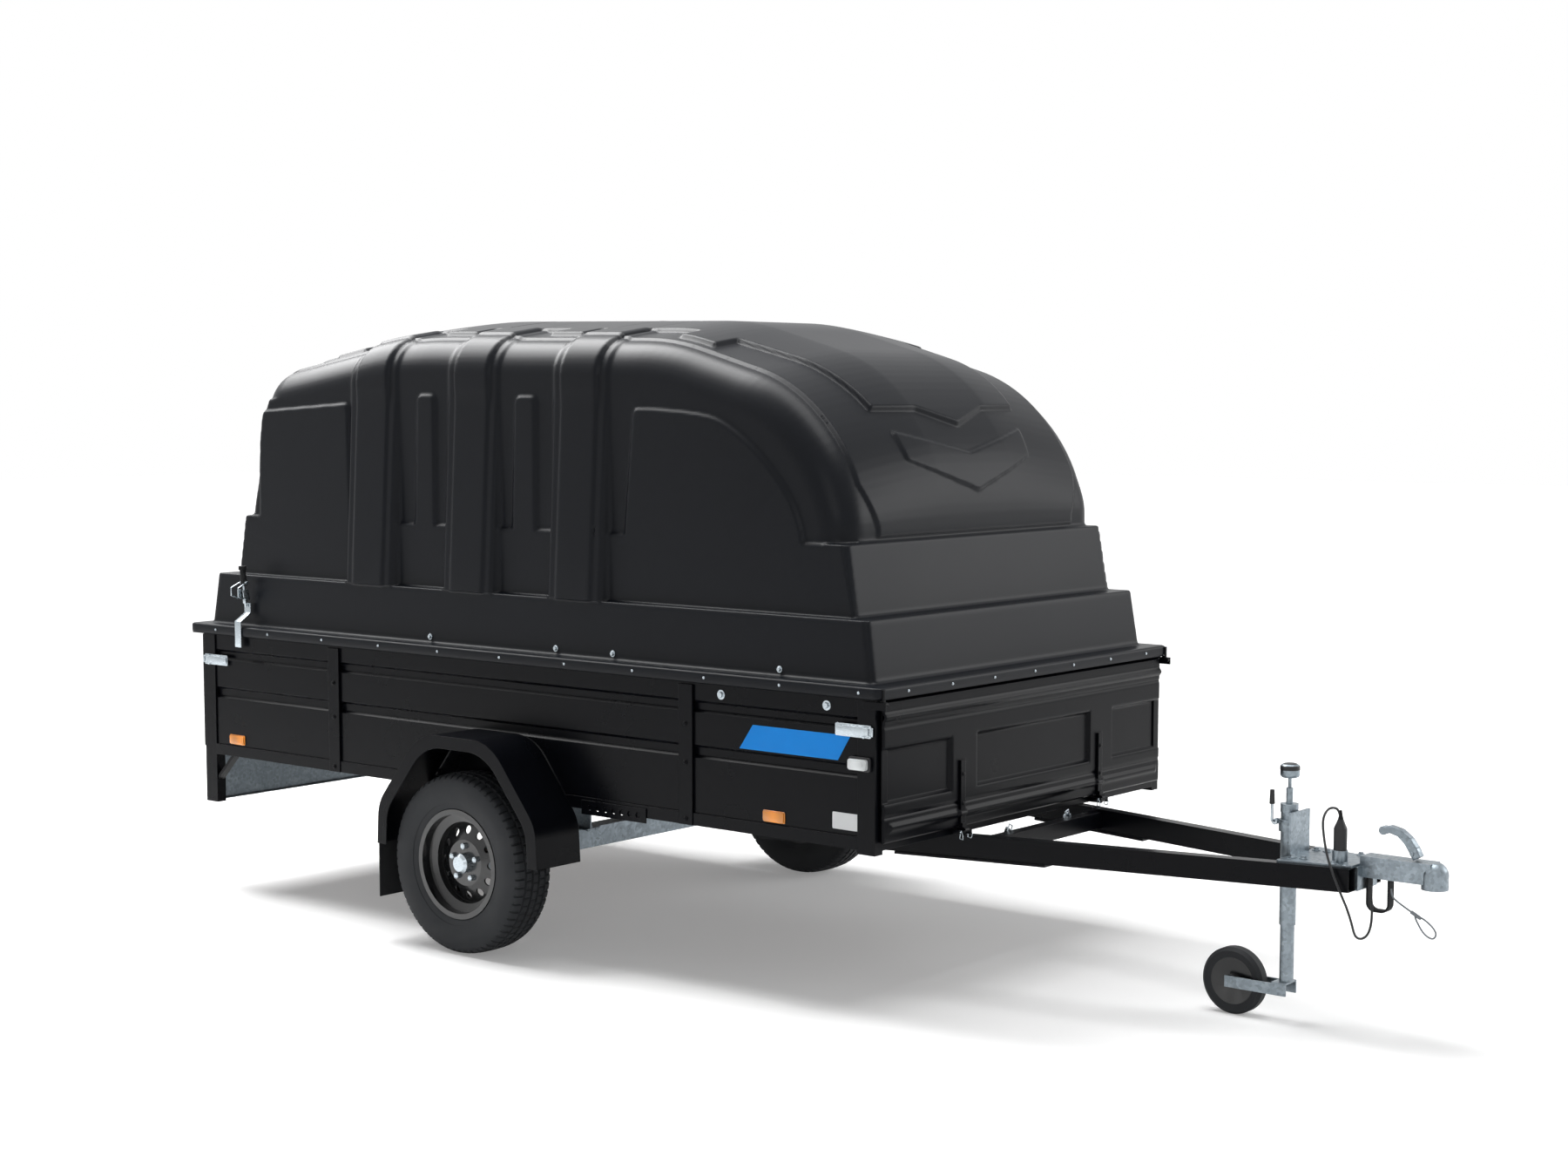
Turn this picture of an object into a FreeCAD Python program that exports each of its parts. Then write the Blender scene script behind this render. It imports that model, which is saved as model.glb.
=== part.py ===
"""A single-axle covered box trailer with a tall moulded lid, in millimetres.

+X points forward to the coupling, +Y to the left, +Z up; the ground is z = 0 and the
origin is under the middle of the trailer's bounding box. Lengths along the trailer are
measured from the axle, and every piece is moved by the same distance to that origin.
"""
import FreeCAD, Part
import Sketcher

import math
import os
import re
from types import SimpleNamespace

os.makedirs("parts", exist_ok=True)

SIZES = {
    # load box: planes are measured from the axle, widths from the middle
    "post_front": 1593, "post_rear": 1525, "post_long": 64, "post_deep": 38, "post_half": 787,
    "post_wall": 3, "post_top": 965, "front_foot": 494, "rear_foot": 326,
    "sill_bottom": 506, "sill_top": 545, "sill_wide": 45, "sill_wall": 3,
    "panel_face": 782, "panel_sheet": 2, "groove_deep": 10, "groove_slope": 9,
    "groove_high_top": 895, "groove_high_bottom": 857, "groove_low_top": 757,
    "groove_low_bottom": 716, "floor_thick": 12, "rail_deep": 26, "rail_tall": 52,
    "mid_post_wide": 56, "mid_post_out": 8, "mid_post_place": 827, "mid_post_top": 942,
    "mid_post_sheet": 3,
    # chassis below the floor
    "beam_wide": 40, "beam_tall": 39, "beam_half": 560, "beam_start": 1461, "beam_end": 1080,
    "cross_wide": 40, "cross_pitch": 600, "cross_first": 1200,
    # gates
    "gate_gap": 5, "gate_thick": 12, "gate_half": 768, "gate_top": 944, "gate_bottom": 528,
    "gate_recess": 8, "rim_gap": 5, "tail_thick": 26, "tail_skin": 3, "tail_pin_out": 8,
    "tail_pin_z": 512, "gate_pin_out": 15, "gate_pin_z": 518, "pin_radius": 5,
    "arm_half": 383, "arm_wide": 22, "arm_thick": 9, "arm_top": 732, "eye_radius": 12,
    # lid
    "lid_wall": 5, "flange_front": 1618, "flange_rear": 1593, "flange_half": 797,
    "flange_bottom": 950, "flange_top": 986, "flange_round": 26,
    "tier_one_front": 1552, "tier_one_rear": 1543, "tier_one_half": 740, "tier_one_top": 1170,
    "tier_one_lean": 33, "tier_one_lean_y": 8,
    "tier_two_front": 1456, "tier_two_rear": 1430, "tier_two_half": 698, "tier_two_top": 1386,
    "tier_two_lean": 43, "tier_two_lean_y": 4, "tier_round": 40, "corner_round": 20,
    "dome_half": 688, "dome_rear": 1378, "dome_rear_lean": 92, "dome_rear_top": 1942,
    "roof_high": 2062, "roof_high_back": 560, "roof_fall": 2044, "roof_fall_front": 640,
    "brow_front": 1130, "brow_high": 1908, "face_front": 1400, "face_high": 1640,
    "brow_round": 560, "face_round": 520, "roof_round": 900, "tail_round": 130,
    "shoulder_round": 100, "band_out": 8, "band_wide": 158, "band_first": 669,
    "band_pitch": 498, "hinge_out": 8, "hinge_z": 938, "hinge_back": 40, "hinge_plate": 5, "hinge_leaf": 5,
    "hinge_pin_radius": 4, "hinge_eye_radius": 8, "strap_half": 609, "strap_wide": 30,
    "strap_thick": 5, "strap_bottom": 905, "strap_top": 1060, "grip_top": 1185, "grip_wide": 34,
    # running gear
    "tyre_radius": 298, "tyre_wide": 165, "bead_radius": 168, "rim_radius": 181,
    "track_half": 880, "disc_thick": 6, "disc_out": 26, "well_radius": 140, "rim_wall": 5,
    "bolt_ring_radius": 56, "hub_radius": 33, "hub_out": 62, "stub_radius": 21,
    "vent_ring_radius": 108, "vent_radius": 13, "bolt_edge": 20, "disc_dish": 26,
    "hub_flange": 8, "hub_back": 72, "tread_round": 14, "tread_crown": 5, "arm_end": 42,
    "axle_wall": 5, "axle_plug": 10, "axle_ahead": 165, "axle_height": 351,
    "axle_tube": 68, "axle_half": 742, "arm_plate": 22, "running_gap": 0.3,
    # mudguards
    "guard_half": 983, "guard_sheet": 3, "guard_lip": 42, "guard_top": 722, "guard_bottom": 333,
    "guard_mid": 28, "guard_half_long": 377, "guard_shoulder": 470, "guard_flat": 78,
    "guard_round": 130, "guard_crown": 170, "flap_edge": 10,
    "flap_lap": 30, "step_lap": 30, "step_hole_radius": 9, "flap_bottom": 150, "flap_thick": 4, "step_long": 280, "step_tall": 46,
    # drawbar
    "pivot_x": 934, "pivot_radius": 10, "pivot_clear": 8, "pivot_plate": 6, "pivot_long": 56,
    "draw_tail": 20, "draw_top": 498, "draw_tall": 68, "draw_wide": 42,
    "draw_back_half": 484, "draw_nose_half": 82, "draw_nose": 2745, "draw_wall": 3,
    "doubler_tall": 8, "doubler_start": 1380, "doubler_end": 1860,
    "crossbar_x": 1640, "crossbar_long": 40, "catch_deep": 12, "catch_half": 172,
    "catch_wide": 30, "catch_up": 4, "nose_plate_start": 2534, "nose_plate_thick": 6,
    "coupling_tip": 2995, "coupling_tall": 60, "coupling_wide": 64,
    "coupling_flange": 8, "cup_radius": 38, "cup_tall": 40, "cup_crown": 34, "cup_drop": 14,
    "socket_deep": 45, "ball_radius": 25, "ball_gap": 0.3, "cup_bottom": 452,
    "handle_thick": 16, "handle_wide": 28, "handle_bend": 30, "handle_end": 2800,
    "handle_top": 626, "loop_back": 2757, "loop_front": 2828, "loop_bottom": 366,
    "loop_round": 26, "loop_sheet": 6, "loop_wide": 30,
    # jockey wheel
    "mast_x": 2504, "mast_radius": 24, "mast_bore": 21, "mast_bottom": 290, "mast_top": 622,
    "leg_radius": 20.5, "leg_top": 440, "leg_bottom": 122, "leg_wall": 3,
    "collar_radius": 26, "collar_tall": 24, "crank_radius": 10, "crank_top": 692,
    "knob_radius": 28, "knob_bottom": 722, "knob_tall": 40,
    "jockey_radius": 100, "jockey_wide": 48, "jockey_trail": 168, "jockey_hub": 20,
    "fork_gap": 5, "fork_sheet": 5, "fork_tall": 34, "fork_neck": 30, "neck_tall": 10, "jockey_pin": 6, "jockey_tread": 30, "clamp_radius": 30,
    "clamp_tall": 34, "clamp_z": 566, "clamp_top": 628, "clamp_half": 58,
    # lighting plug
    "cable_radius": 4, "plug_radius": 19, "plug_long": 62, "plug_tail": 26, "plug_x": 2690,
    "plug_half": 46, "holder_wall": 3, "holder_tall": 34,
    # lamps, latches and small fittings
    "lamp_fold": 22, "lamp_deep": 34, "lamp_edge": 14, "lamp_wide": 200, "lamp_bottom": 352,
    "lamp_tall": 112, "brace_drop": 96, "brace_thick": 14, "brace_wide": 30,
    "marker_back": 12, "marker_long": 78, "marker_deep": 26, "marker_tall": 42, "marker_z": 760,
    "reflector_front": 1211, "reflector_rear": 1342, "reflector_long": 86, "reflector_tall": 36,
    "reflector_deep": 8, "reflector_z": 568, "latch_long": 140, "latch_tall": 46,
    "latch_plate": 3, "latch_deep": 12, "latch_z": 856, "channel_half": 59, "gate_rim": 28,
    "recess_bottom": 645, "recess_top": 812, "ear_gap": 1, "tail_leaf_tall": 90,
    "tail_hinge_half": 520,
    "overrun": 20,
}

doc = FreeCAD.newDocument("covered_box_trailer")
sheet = doc.addObject("Spreadsheet::Sheet", "Sizes")
for row, (alias, value) in enumerate(SIZES.items(), start=1):
    sheet.set("A%d" % row, alias)
    sheet.set("B%d" % row, str(value))
    sheet.setAlias("B%d" % row, alias)
doc.recompute()
D = SimpleNamespace(**{alias: float(sheet.get(alias)) for alias in SIZES})

# where the axle stands from the middle of the whole length
AXLE_TEXT = "(flange_rear + strap_thick - coupling_tip) / 2"
AXLE_X = (D.flange_rear + D.strap_thick - D.coupling_tip) / 2
SUB_PARTS = []
VENTS = 12
STEP_HOLES = 7
CROSS_BEAMS = 4
V = FreeCAD.Vector
UP = V(0, 0, 1)
LEFT = V(0, 1, 0)
AHEAD = V(1, 0, 0)


def bound(text):
    """Write an expression for the sheet: every size's name gets the sheet's name."""
    return re.sub(r"[a-z_]+", lambda m: "Sizes." + m[0] if m[0] in SIZES else m[0], str(text))


def bind(obj, **texts):
    for prop, text in texts.items():
        obj.setExpression(prop, bound(text))
    return obj


def place(obj, x, y, z, from_axle=True):
    start = AXLE_TEXT + " + " if from_axle else ""
    obj.setExpression("Placement.Base.x", bound(start + x))
    obj.setExpression("Placement.Base.y", bound(y))
    obj.setExpression("Placement.Base.z", bound(z))
    return obj


def block(name, x_from, x_to, y_from, y_to, z_from, z_to):
    """A box between two planes each way, each plane an expression of the sheet."""
    obj = doc.addObject("Part::Box", name)
    bind(obj, Length="(%s) - (%s)" % (x_to, x_from), Width="(%s) - (%s)" % (y_to, y_from),
         Height="(%s) - (%s)" % (z_to, z_from))
    return place(obj, x_from, y_from, z_from)


def rod(name, axis, radius, x, y, z, length):
    """A cylinder that starts at a point and runs along +X, +Y or +Z."""
    obj = doc.addObject("Part::Cylinder", name)
    obj.Placement = FreeCAD.Placement(V(), FreeCAD.Rotation(UP, axis))
    bind(obj, Radius=radius, Height=length)
    return place(obj, x, y, z)


def fuse(name, *pieces):
    obj = doc.addObject("Part::MultiFuse", name)
    obj.Shapes = list(pieces)
    return obj


def cut(name, base, tool):
    obj = doc.addObject("Part::Cut", name)
    obj.Base = base
    obj.Tool = tool
    return obj


def group(name, *pieces):
    """Like pieces that don't touch, kept as one sub-part."""
    obj = doc.addObject("Part::Compound", name)
    obj.Links = list(pieces)
    return obj


def mirrored(name, source):
    """The same piece on the other side of the trailer."""
    obj = doc.addObject("Part::Mirroring", name)
    obj.Source = source
    obj.Normal = LEFT
    return obj


def sub_part(label, obj):
    obj.Label = label
    SUB_PARTS.append(obj)
    return obj


def feature(name, shape):
    """A piece whose shape is worked out in code, moved from the axle to the origin."""
    obj = doc.addObject("Part::Feature", name)
    start = FreeCAD.Placement(V(AXLE_X, 0, 0), FreeCAD.Rotation()).multiply(shape.Placement)
    obj.Shape = shape
    obj.Placement = start
    return obj


def both_sides(label, obj):
    return sub_part(label, group(label + "_pair", obj, mirrored(label + "_other", obj)))


def box_between(x_from, x_to, y_from, y_to, z_from, z_to):
    return Part.makeBox(x_to - x_from, y_to - y_from, z_to - z_from, V(x_from, y_from, z_from))


def rounded_edges(points, radii, closed):
    """Lines between points, each corner with a radius rounded by a tangent arc."""
    count = len(points)
    starts, ends, arcs = list(points), list(points), [None] * count
    for i, radius in enumerate(radii):
        if not radius:
            continue
        here = points[i]
        back = (points[i - 1] - here).normalize()
        ahead = (points[(i + 1) % count] - here).normalize()
        half = back.getAngle(ahead) / 2
        reach = radius / math.tan(half)
        middle = (back + ahead).normalize() * (radius / math.sin(half) - radius)
        starts[i] = here + back * reach
        ends[i] = here + ahead * reach
        arcs[i] = Part.Arc(starts[i], here + middle, ends[i]).toShape()
    edges = []
    for i in range(count):
        if arcs[i]:
            edges.append(arcs[i])
        following = (i + 1) % count
        if (following or closed) and (starts[following] - ends[i]).Length > D.running_gap:
            edges.append(Part.LineSegment(ends[i], starts[following]).toShape())
    return edges


def rounded_face(points, radii):
    return Part.Face(Part.Wire(rounded_edges(points, radii, True)))


def outline(body, name, plane_role, points):
    """A closed sketch whose corners are expressions of the sheet."""
    sketch = body.newObject("Sketcher::SketchObject", name)
    plane = [f for f in body.Origin.OriginFeatures if f.Role == plane_role][0]
    sketch.AttachmentSupport = (plane, [""])
    sketch.MapMode = "FlatFace"
    origin, start, end = -1, 1, 2
    count = len(points)
    ring = [V(math.cos(2 * math.pi * i / count), math.sin(2 * math.pi * i / count), 0)
            for i in range(count + 1)]
    for i in range(count):
        sketch.addGeometry(Part.LineSegment(ring[i], ring[i + 1]), False)
    for i in range(count):
        sketch.addConstraint(Sketcher.Constraint("Coincident", i, end, (i + 1) % count, start))
    for i, corner in enumerate(points):
        for kind, text in zip(("DistanceX", "DistanceY"), corner):
            index = sketch.addConstraint(Sketcher.Constraint(kind, origin, start, i, start, 1.0))
            sketch.setExpression("Constraints[%d]" % index, bound(text))
    return sketch


def padded(name, plane_role, points, length, x="0", y="0", z="0"):
    """An outline given in one plane and thickened from it."""
    body = doc.addObject("PartDesign::Body", name)
    pad = body.newObject("PartDesign::Pad", name + "_pad")
    pad.Profile = outline(body, name + "_outline", plane_role, points)
    bind(pad, Length=length)
    return place(body, x, y, z)


def load_box():
    """Floor, pressed side panels, posts, rails and the frame under the floor."""
    inner = "(panel_face - panel_sheet)"
    post_inner = "(post_half - post_deep)"
    rear_bay = "-(post_rear - post_long)"
    front_bay = "post_front - post_long"
    floor = fuse(
        "floor_boards",
        block("floor_main", rear_bay, front_bay, "-" + inner, inner,
              "sill_top", "sill_top + floor_thick"),
        block("floor_ends", "-post_rear", "post_front", "-" + post_inner, post_inner,
              "sill_top", "sill_top + floor_thick"))
    sub_part("floor_panel", floor)

    face = "-panel_face"
    deep = "-(panel_face - groove_deep)"
    section = [(face, "sill_top"), (face, "groove_low_bottom"),
               (deep, "groove_low_bottom + groove_slope"), (deep, "groove_low_top - groove_slope"),
               (face, "groove_low_top"), (face, "groove_high_bottom"),
               (deep, "groove_high_bottom + groove_slope"),
               (deep, "groove_high_top - groove_slope"), (face, "groove_high_top"),
               (face, "post_top")]
    back = [(y + " + panel_sheet", z) for y, z in reversed(section)]
    right = padded("side_panel_pressing", "YZ_Plane", section + back,
                   "post_front + post_rear - 2 * post_long", x=rear_bay)
    sub_part("side_panel_right", right)
    sub_part("side_panel_left", mirrored("side_panel_pressing_left", right))

    posts = []
    for name, x_from, x_to, foot in (("front", front_bay, "post_front", "front_foot"),
                                     ("rear", "-post_rear", rear_bay, "rear_foot")):
        outer = block(name + "_post_outside", x_from, x_to, "-post_half", "-" + post_inner,
                      foot, "post_top")
        bore = block(name + "_post_inside", x_from + " + post_wall", x_to + " - post_wall",
                     "-post_half + post_wall", "-%s - post_wall" % post_inner,
                     foot + " - overrun", "post_top - post_wall")
        post = cut(name + "_post", outer, bore)
        posts += [post, mirrored(name + "_post_left", post)]
    sub_part("corner_posts", group("post_set", *posts))

    middle = "(post_front - post_rear) / 2"
    mid_posts = []
    for name, sign in (("rear", "-"), ("front", "+")):
        x_from = "%s %s mid_post_place - mid_post_wide / 2" % (middle, sign)
        x_to = x_from + " + mid_post_wide"
        out = "-panel_face - mid_post_out"
        upper = block("mid_post_%s_upper" % name, x_from, x_to, out, "-panel_face",
                      "sill_top", "mid_post_top")
        foot = block("mid_post_%s_foot" % name, x_from, x_to, out, "-post_half",
                     "sill_bottom", "sill_top")
        post = fuse("mid_post_" + name, upper, foot)
        mid_posts += [post, mirrored("mid_post_%s_left" % name, post)]
    sub_part("middle_posts", group("mid_post_set", *mid_posts))

    sill = cut("sill_channel",
               block("sill_outside", rear_bay, front_bay, "-post_half",
                     "-(post_half - sill_wide)", "sill_bottom", "sill_top"),
               block("sill_inside", rear_bay + " - overrun", front_bay + " + overrun",
                     "-post_half + sill_wall", "-(post_half - sill_wide) + overrun",
                     "sill_bottom + sill_wall", "sill_top - sill_wall"))
    both_sides("side_sills", sill)
    both_sides("top_rails", block("top_rail", rear_bay, front_bay, "-" + inner,
                                  "-%s + rail_deep" % inner, "post_top - rail_tall", "post_top"))

    beams = []
    for name, y in (("right", "-beam_half"), ("left", "beam_half")):
        beams.append(block("long_beam_" + name, "-post_rear", "post_front",
                           y + " - beam_wide / 2", y + " + beam_wide / 2",
                           "sill_top - beam_tall", "sill_top"))
    sill_inner = "(post_half - sill_wide)"
    for i in range(CROSS_BEAMS):
        x = "pivot_x - cross_pitch * %d" % i
        beams.append(block("cross_beam_%d" % i, x + " - cross_wide / 2", x + " + cross_wide / 2",
                           "-" + sill_inner, sill_inner, "sill_top - beam_tall", "sill_top"))
    for name, x_from in (("rear", "-post_rear"), ("front", "post_front - cross_wide")):
        beams.append(block(name + "_beam", x_from, x_from + " + cross_wide", "-" + post_inner,
                           post_inner, "sill_top - beam_tall", "sill_top"))
    sub_part("chassis_frame", fuse("chassis_beams", *beams))


def rear_end():
    """The lamp panel between the long rear posts, its lamps and the post braces."""
    post_inner = "(post_half - post_deep)"
    web = block("lamp_panel_web", "-post_rear", "-post_rear + sill_wall", "-" + post_inner,
                post_inner, "rear_foot", "sill_bottom")
    fold = block("lamp_panel_fold", "-post_rear", "-post_rear + lamp_fold", "-" + post_inner,
                 post_inner, "rear_foot", "rear_foot + sill_wall")
    sub_part("lamp_panel", fuse("lamp_panel_pressing", web, fold))
    lamp = block("tail_lamp", "-post_rear - lamp_deep", "-post_rear",
                 "-%s + lamp_edge" % post_inner, "-%s + lamp_edge + lamp_wide" % post_inner,
                 "lamp_bottom", "lamp_bottom + lamp_tall")
    both_sides("tail_lamps", lamp)
    points = [V(-D.post_rear + D.post_long, 0, D.sill_bottom - D.brace_drop),
              V(-D.post_rear + D.post_long, 0, D.sill_bottom - D.brace_drop + D.brace_thick),
              V(-D.post_rear + D.post_long + D.brace_drop - D.brace_thick, 0, D.sill_bottom),
              V(-D.post_rear + D.post_long + D.brace_drop, 0, D.sill_bottom)]
    brace = rounded_face(points, [0] * len(points)).extrude(LEFT * D.brace_wide)
    brace.translate(V(0, -D.post_half + D.post_wall, 0))
    both_sides("rear_braces", feature("rear_brace", brace))


def small_lamps():
    """White marker lamps on the front posts and amber reflectors on the panels."""
    lamp = block("marker_lamp", "post_front - marker_back - marker_long",
                 "post_front - marker_back", "-post_half - marker_deep", "-post_half",
                 "marker_z - marker_tall / 2", "marker_z + marker_tall / 2")
    both_sides("marker_lamps", lamp)
    reflectors = []
    for name, x in (("front", "reflector_front"), ("rear", "-reflector_rear")):
        one = block(name + "_reflector", x + " - reflector_long / 2", x + " + reflector_long / 2",
                    "-panel_face - reflector_deep", "-panel_face",
                    "reflector_z - reflector_tall / 2", "reflector_z + reflector_tall / 2")
        reflectors += [one, mirrored(name + "_reflector_left", one)]
    sub_part("side_reflectors", group("reflector_set", *reflectors))


def gate_latches():
    """Toggle latches on the corner posts that hold the two end gates shut."""
    latches = []
    for name, x_from, x_to in (("front", "post_front - latch_long", "post_front"),
                               ("rear", "-post_rear", "-post_rear + latch_long")):
        plate = block(name + "_latch_plate", x_from, x_to, "-post_half - latch_plate",
                      "-post_half", "latch_z - latch_tall / 2", "latch_z + latch_tall / 2")
        lever = block(name + "_latch_lever", x_from + " + latch_plate", x_to + " - latch_plate",
                      "-post_half - latch_deep", "-post_half - latch_plate",
                      "latch_z - latch_tall / 4", "latch_z + latch_tall / 4")
        one = fuse(name + "_latch", plate, lever)
        latches += [one, mirrored(name + "_latch_left", one)]
    sub_part("gate_latches", group("latch_set", *latches))


def end_gates():
    """Front and rear gates, hinged at their lower edges, with pressed recesses."""
    outer = D.post_front + D.gate_gap + D.gate_thick
    slab = box_between(D.post_front + D.gate_gap, outer, -D.gate_half, D.gate_half,
                       D.gate_bottom, D.gate_top)
    arms = [(-D.arm_half - D.channel_half, -D.arm_half + D.channel_half),
            (D.arm_half - D.channel_half, D.arm_half + D.channel_half)]
    edges = [-D.gate_half + D.gate_rim] + [y for arm in arms for y in arm]
    edges.append(D.gate_half - D.gate_rim)
    cuts = [box_between(outer - D.gate_recess, outer + D.overrun, y_from, y_to,
                        D.recess_bottom, D.recess_top)
            for y_from, y_to in zip(edges[::2], edges[1::2])]
    cuts.append(box_between(outer - D.gate_recess, outer + D.overrun, -D.gate_half + D.gate_rim,
                            D.gate_half - D.gate_rim, D.groove_high_bottom + D.gate_rim,
                            D.groove_high_top))
    for y_from, y_to in ((edges[0], edges[1]), (edges[-2], edges[-1])):
        cuts.append(box_between(outer - D.gate_recess, outer + D.overrun, y_from, y_to,
                                D.gate_bottom + D.gate_rim, D.recess_bottom - D.channel_half))
    sub_part("front_gate_panel", feature("front_gate_pressing", slab.cut(cuts)))

    pin_x = D.post_front + D.gate_gap + D.gate_thick + D.gate_pin_out
    arm = box_between(outer, outer + D.arm_thick, -D.arm_wide / 2, D.arm_wide / 2,
                      D.gate_pin_z + D.eye_radius, D.arm_top)
    lug = box_between(outer, pin_x, -D.arm_wide / 2, D.arm_wide / 2,
                      D.gate_pin_z, D.gate_pin_z + 2 * D.eye_radius)
    eye = Part.makeCylinder(D.eye_radius, D.arm_wide, V(pin_x, -D.arm_wide / 2, D.gate_pin_z), LEFT)
    hole = Part.makeCylinder(D.pin_radius + D.running_gap, 2 * D.arm_wide,
                             V(pin_x, -D.arm_wide, D.gate_pin_z), LEFT)
    strap = arm.fuse([lug, eye]).removeSplitter().cut(hole)
    strap.translate(V(0, -D.arm_half, 0))
    both_sides("front_gate_arms", feature("front_gate_arm", strap))

    ear_thick = D.arm_thick
    ears = []
    for side in (-1, 1):
        y = side * (D.arm_wide / 2 + ear_thick / 2 + D.ear_gap) - ear_thick / 2
        plate = box_between(D.post_front, pin_x + D.eye_radius, y, y + ear_thick,
                            D.sill_bottom, D.gate_pin_z - D.ear_gap + D.pin_radius)
        ears.append(plate)
    pin_long = D.arm_wide + 2 * (ear_thick + D.ear_gap)
    pin = Part.makeCylinder(D.pin_radius, pin_long, V(pin_x, -pin_long / 2, D.gate_pin_z), LEFT)
    hinge = pin.fuse(ears).removeSplitter()
    hinge.translate(V(0, -D.arm_half, 0))
    both_sides("front_gate_hinges", feature("front_gate_hinge", hinge))

    tail_inner = -D.post_rear - D.gate_gap
    tail_outer = tail_inner - D.tail_thick
    slab = box_between(tail_outer, tail_inner, -D.gate_half, D.gate_half,
                       D.gate_bottom, D.gate_top)
    hollow = box_between(tail_outer + D.tail_skin, tail_inner + D.overrun,
                         -D.gate_half + D.tail_skin, D.gate_half - D.tail_skin,
                         D.gate_bottom + D.tail_skin, D.gate_top - D.tail_skin)
    sub_part("tailgate_panel", feature("tailgate_pressing", slab.cut(hollow)))

    pin_x = tail_outer - D.tail_pin_out
    leaf = box_between(tail_outer - D.arm_thick / 2, tail_outer, -D.arm_wide / 2, D.arm_wide / 2,
                       D.gate_bottom, D.gate_bottom + D.tail_leaf_tall)
    lug = box_between(pin_x, tail_outer, -D.arm_wide / 2, D.arm_wide / 2,
                      D.tail_pin_z, D.gate_bottom + D.eye_radius)
    eye = Part.makeCylinder(D.eye_radius - D.arm_thick / 3, D.arm_wide,
                            V(pin_x, -D.arm_wide / 2, D.tail_pin_z), LEFT)
    hole = Part.makeCylinder(D.pin_radius + D.running_gap, 2 * D.arm_wide,
                             V(pin_x, -D.arm_wide, D.tail_pin_z), LEFT)
    knuckle = leaf.fuse([lug, eye]).removeSplitter().cut(hole)
    knuckle.translate(V(0, -D.tail_hinge_half, 0))
    both_sides("tailgate_hinge_leaves", feature("tailgate_leaf", knuckle))

    ears = []
    for side in (-1, 1):
        y = side * (D.arm_wide / 2 + ear_thick / 2 + D.ear_gap) - ear_thick / 2
        ears.append(box_between(pin_x - D.pin_radius, -D.post_rear, y, y + ear_thick,
                                D.sill_bottom - D.eye_radius, D.tail_pin_z + D.pin_radius))
    pin = Part.makeCylinder(D.pin_radius, pin_long, V(pin_x, -pin_long / 2, D.tail_pin_z), LEFT)
    hinge = pin.fuse(ears).removeSplitter()
    hinge.translate(V(0, -D.tail_hinge_half, 0))
    both_sides("tailgate_hinges", feature("tailgate_hinge", hinge))


def dome(grow):
    """The tall upper part of the lid as a solid, its outside moved out by a distance."""
    brow_share, face_share = 0.5, 0.4
    base = D.tier_two_top - D.tier_round
    points = [V(-D.dome_rear - grow, 0, base),
              V(-D.dome_rear + D.dome_rear_lean - grow, 0, D.dome_rear_top + grow),
              V(-D.roof_high_back, 0, D.roof_high + grow),
              V(D.roof_fall_front, 0, D.roof_fall + grow),
              V(D.brow_front + grow * brow_share, 0, D.brow_high + grow),
              V(D.face_front + grow, 0, D.face_high + grow * face_share),
              V(D.face_front + grow, 0, base)]
    radii = [0, D.tail_round + grow, 2 * D.roof_round, D.roof_round, D.brow_round,
             D.face_round, 0]
    half = D.dome_half + grow
    solid = rounded_face(points, radii).extrude(LEFT * 2 * half)
    solid.translate(V(0, -half, 0))
    shoulders = [edge for edge in solid.Edges
                 if abs(abs(edge.CenterOfMass.y) - half) < D.running_gap
                 and edge.BoundBox.ZMax > D.tier_two_top]
    return solid.makeFillet(D.shoulder_round + grow, shoulders)


def tier(front, rear, half, z_from, z_to, lean, lean_y, inset):
    """One tapered step of the lid, every face moved in by a distance."""
    def ring(lean_x, lean_side, z):
        x_from, x_to = -rear + lean_x + inset, front - lean_x - inset
        y = half - lean_side - inset
        corners = [V(x_from, -y, z), V(x_to, -y, z), V(x_to, y, z), V(x_from, y, z)]
        return Part.Wire(rounded_edges(corners, [D.corner_round - inset] * 4, True))
    return Part.makeLoft([ring(0, 0, z_from), ring(lean, lean_y, z_to)], True, True)


def lid_body(inset):
    """The lid as a solid block, every outside face moved in by a distance."""
    z_from = D.flange_bottom if not inset else D.flange_bottom - D.overrun
    flange = tier(D.flange_front, D.flange_rear, D.flange_half, z_from,
                  D.flange_top - inset, 0, 0, inset)
    lower = tier(D.tier_one_front, D.tier_one_rear, D.tier_one_half,
                 D.flange_top - D.flange_round, D.tier_one_top - inset,
                 D.tier_one_lean, D.tier_one_lean_y, inset)
    upper = tier(D.tier_two_front, D.tier_two_rear, D.tier_two_half,
                 D.tier_one_top - D.tier_round, D.tier_two_top - inset,
                 D.tier_two_lean, D.tier_two_lean_y, inset)
    return flange, lower, upper


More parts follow.
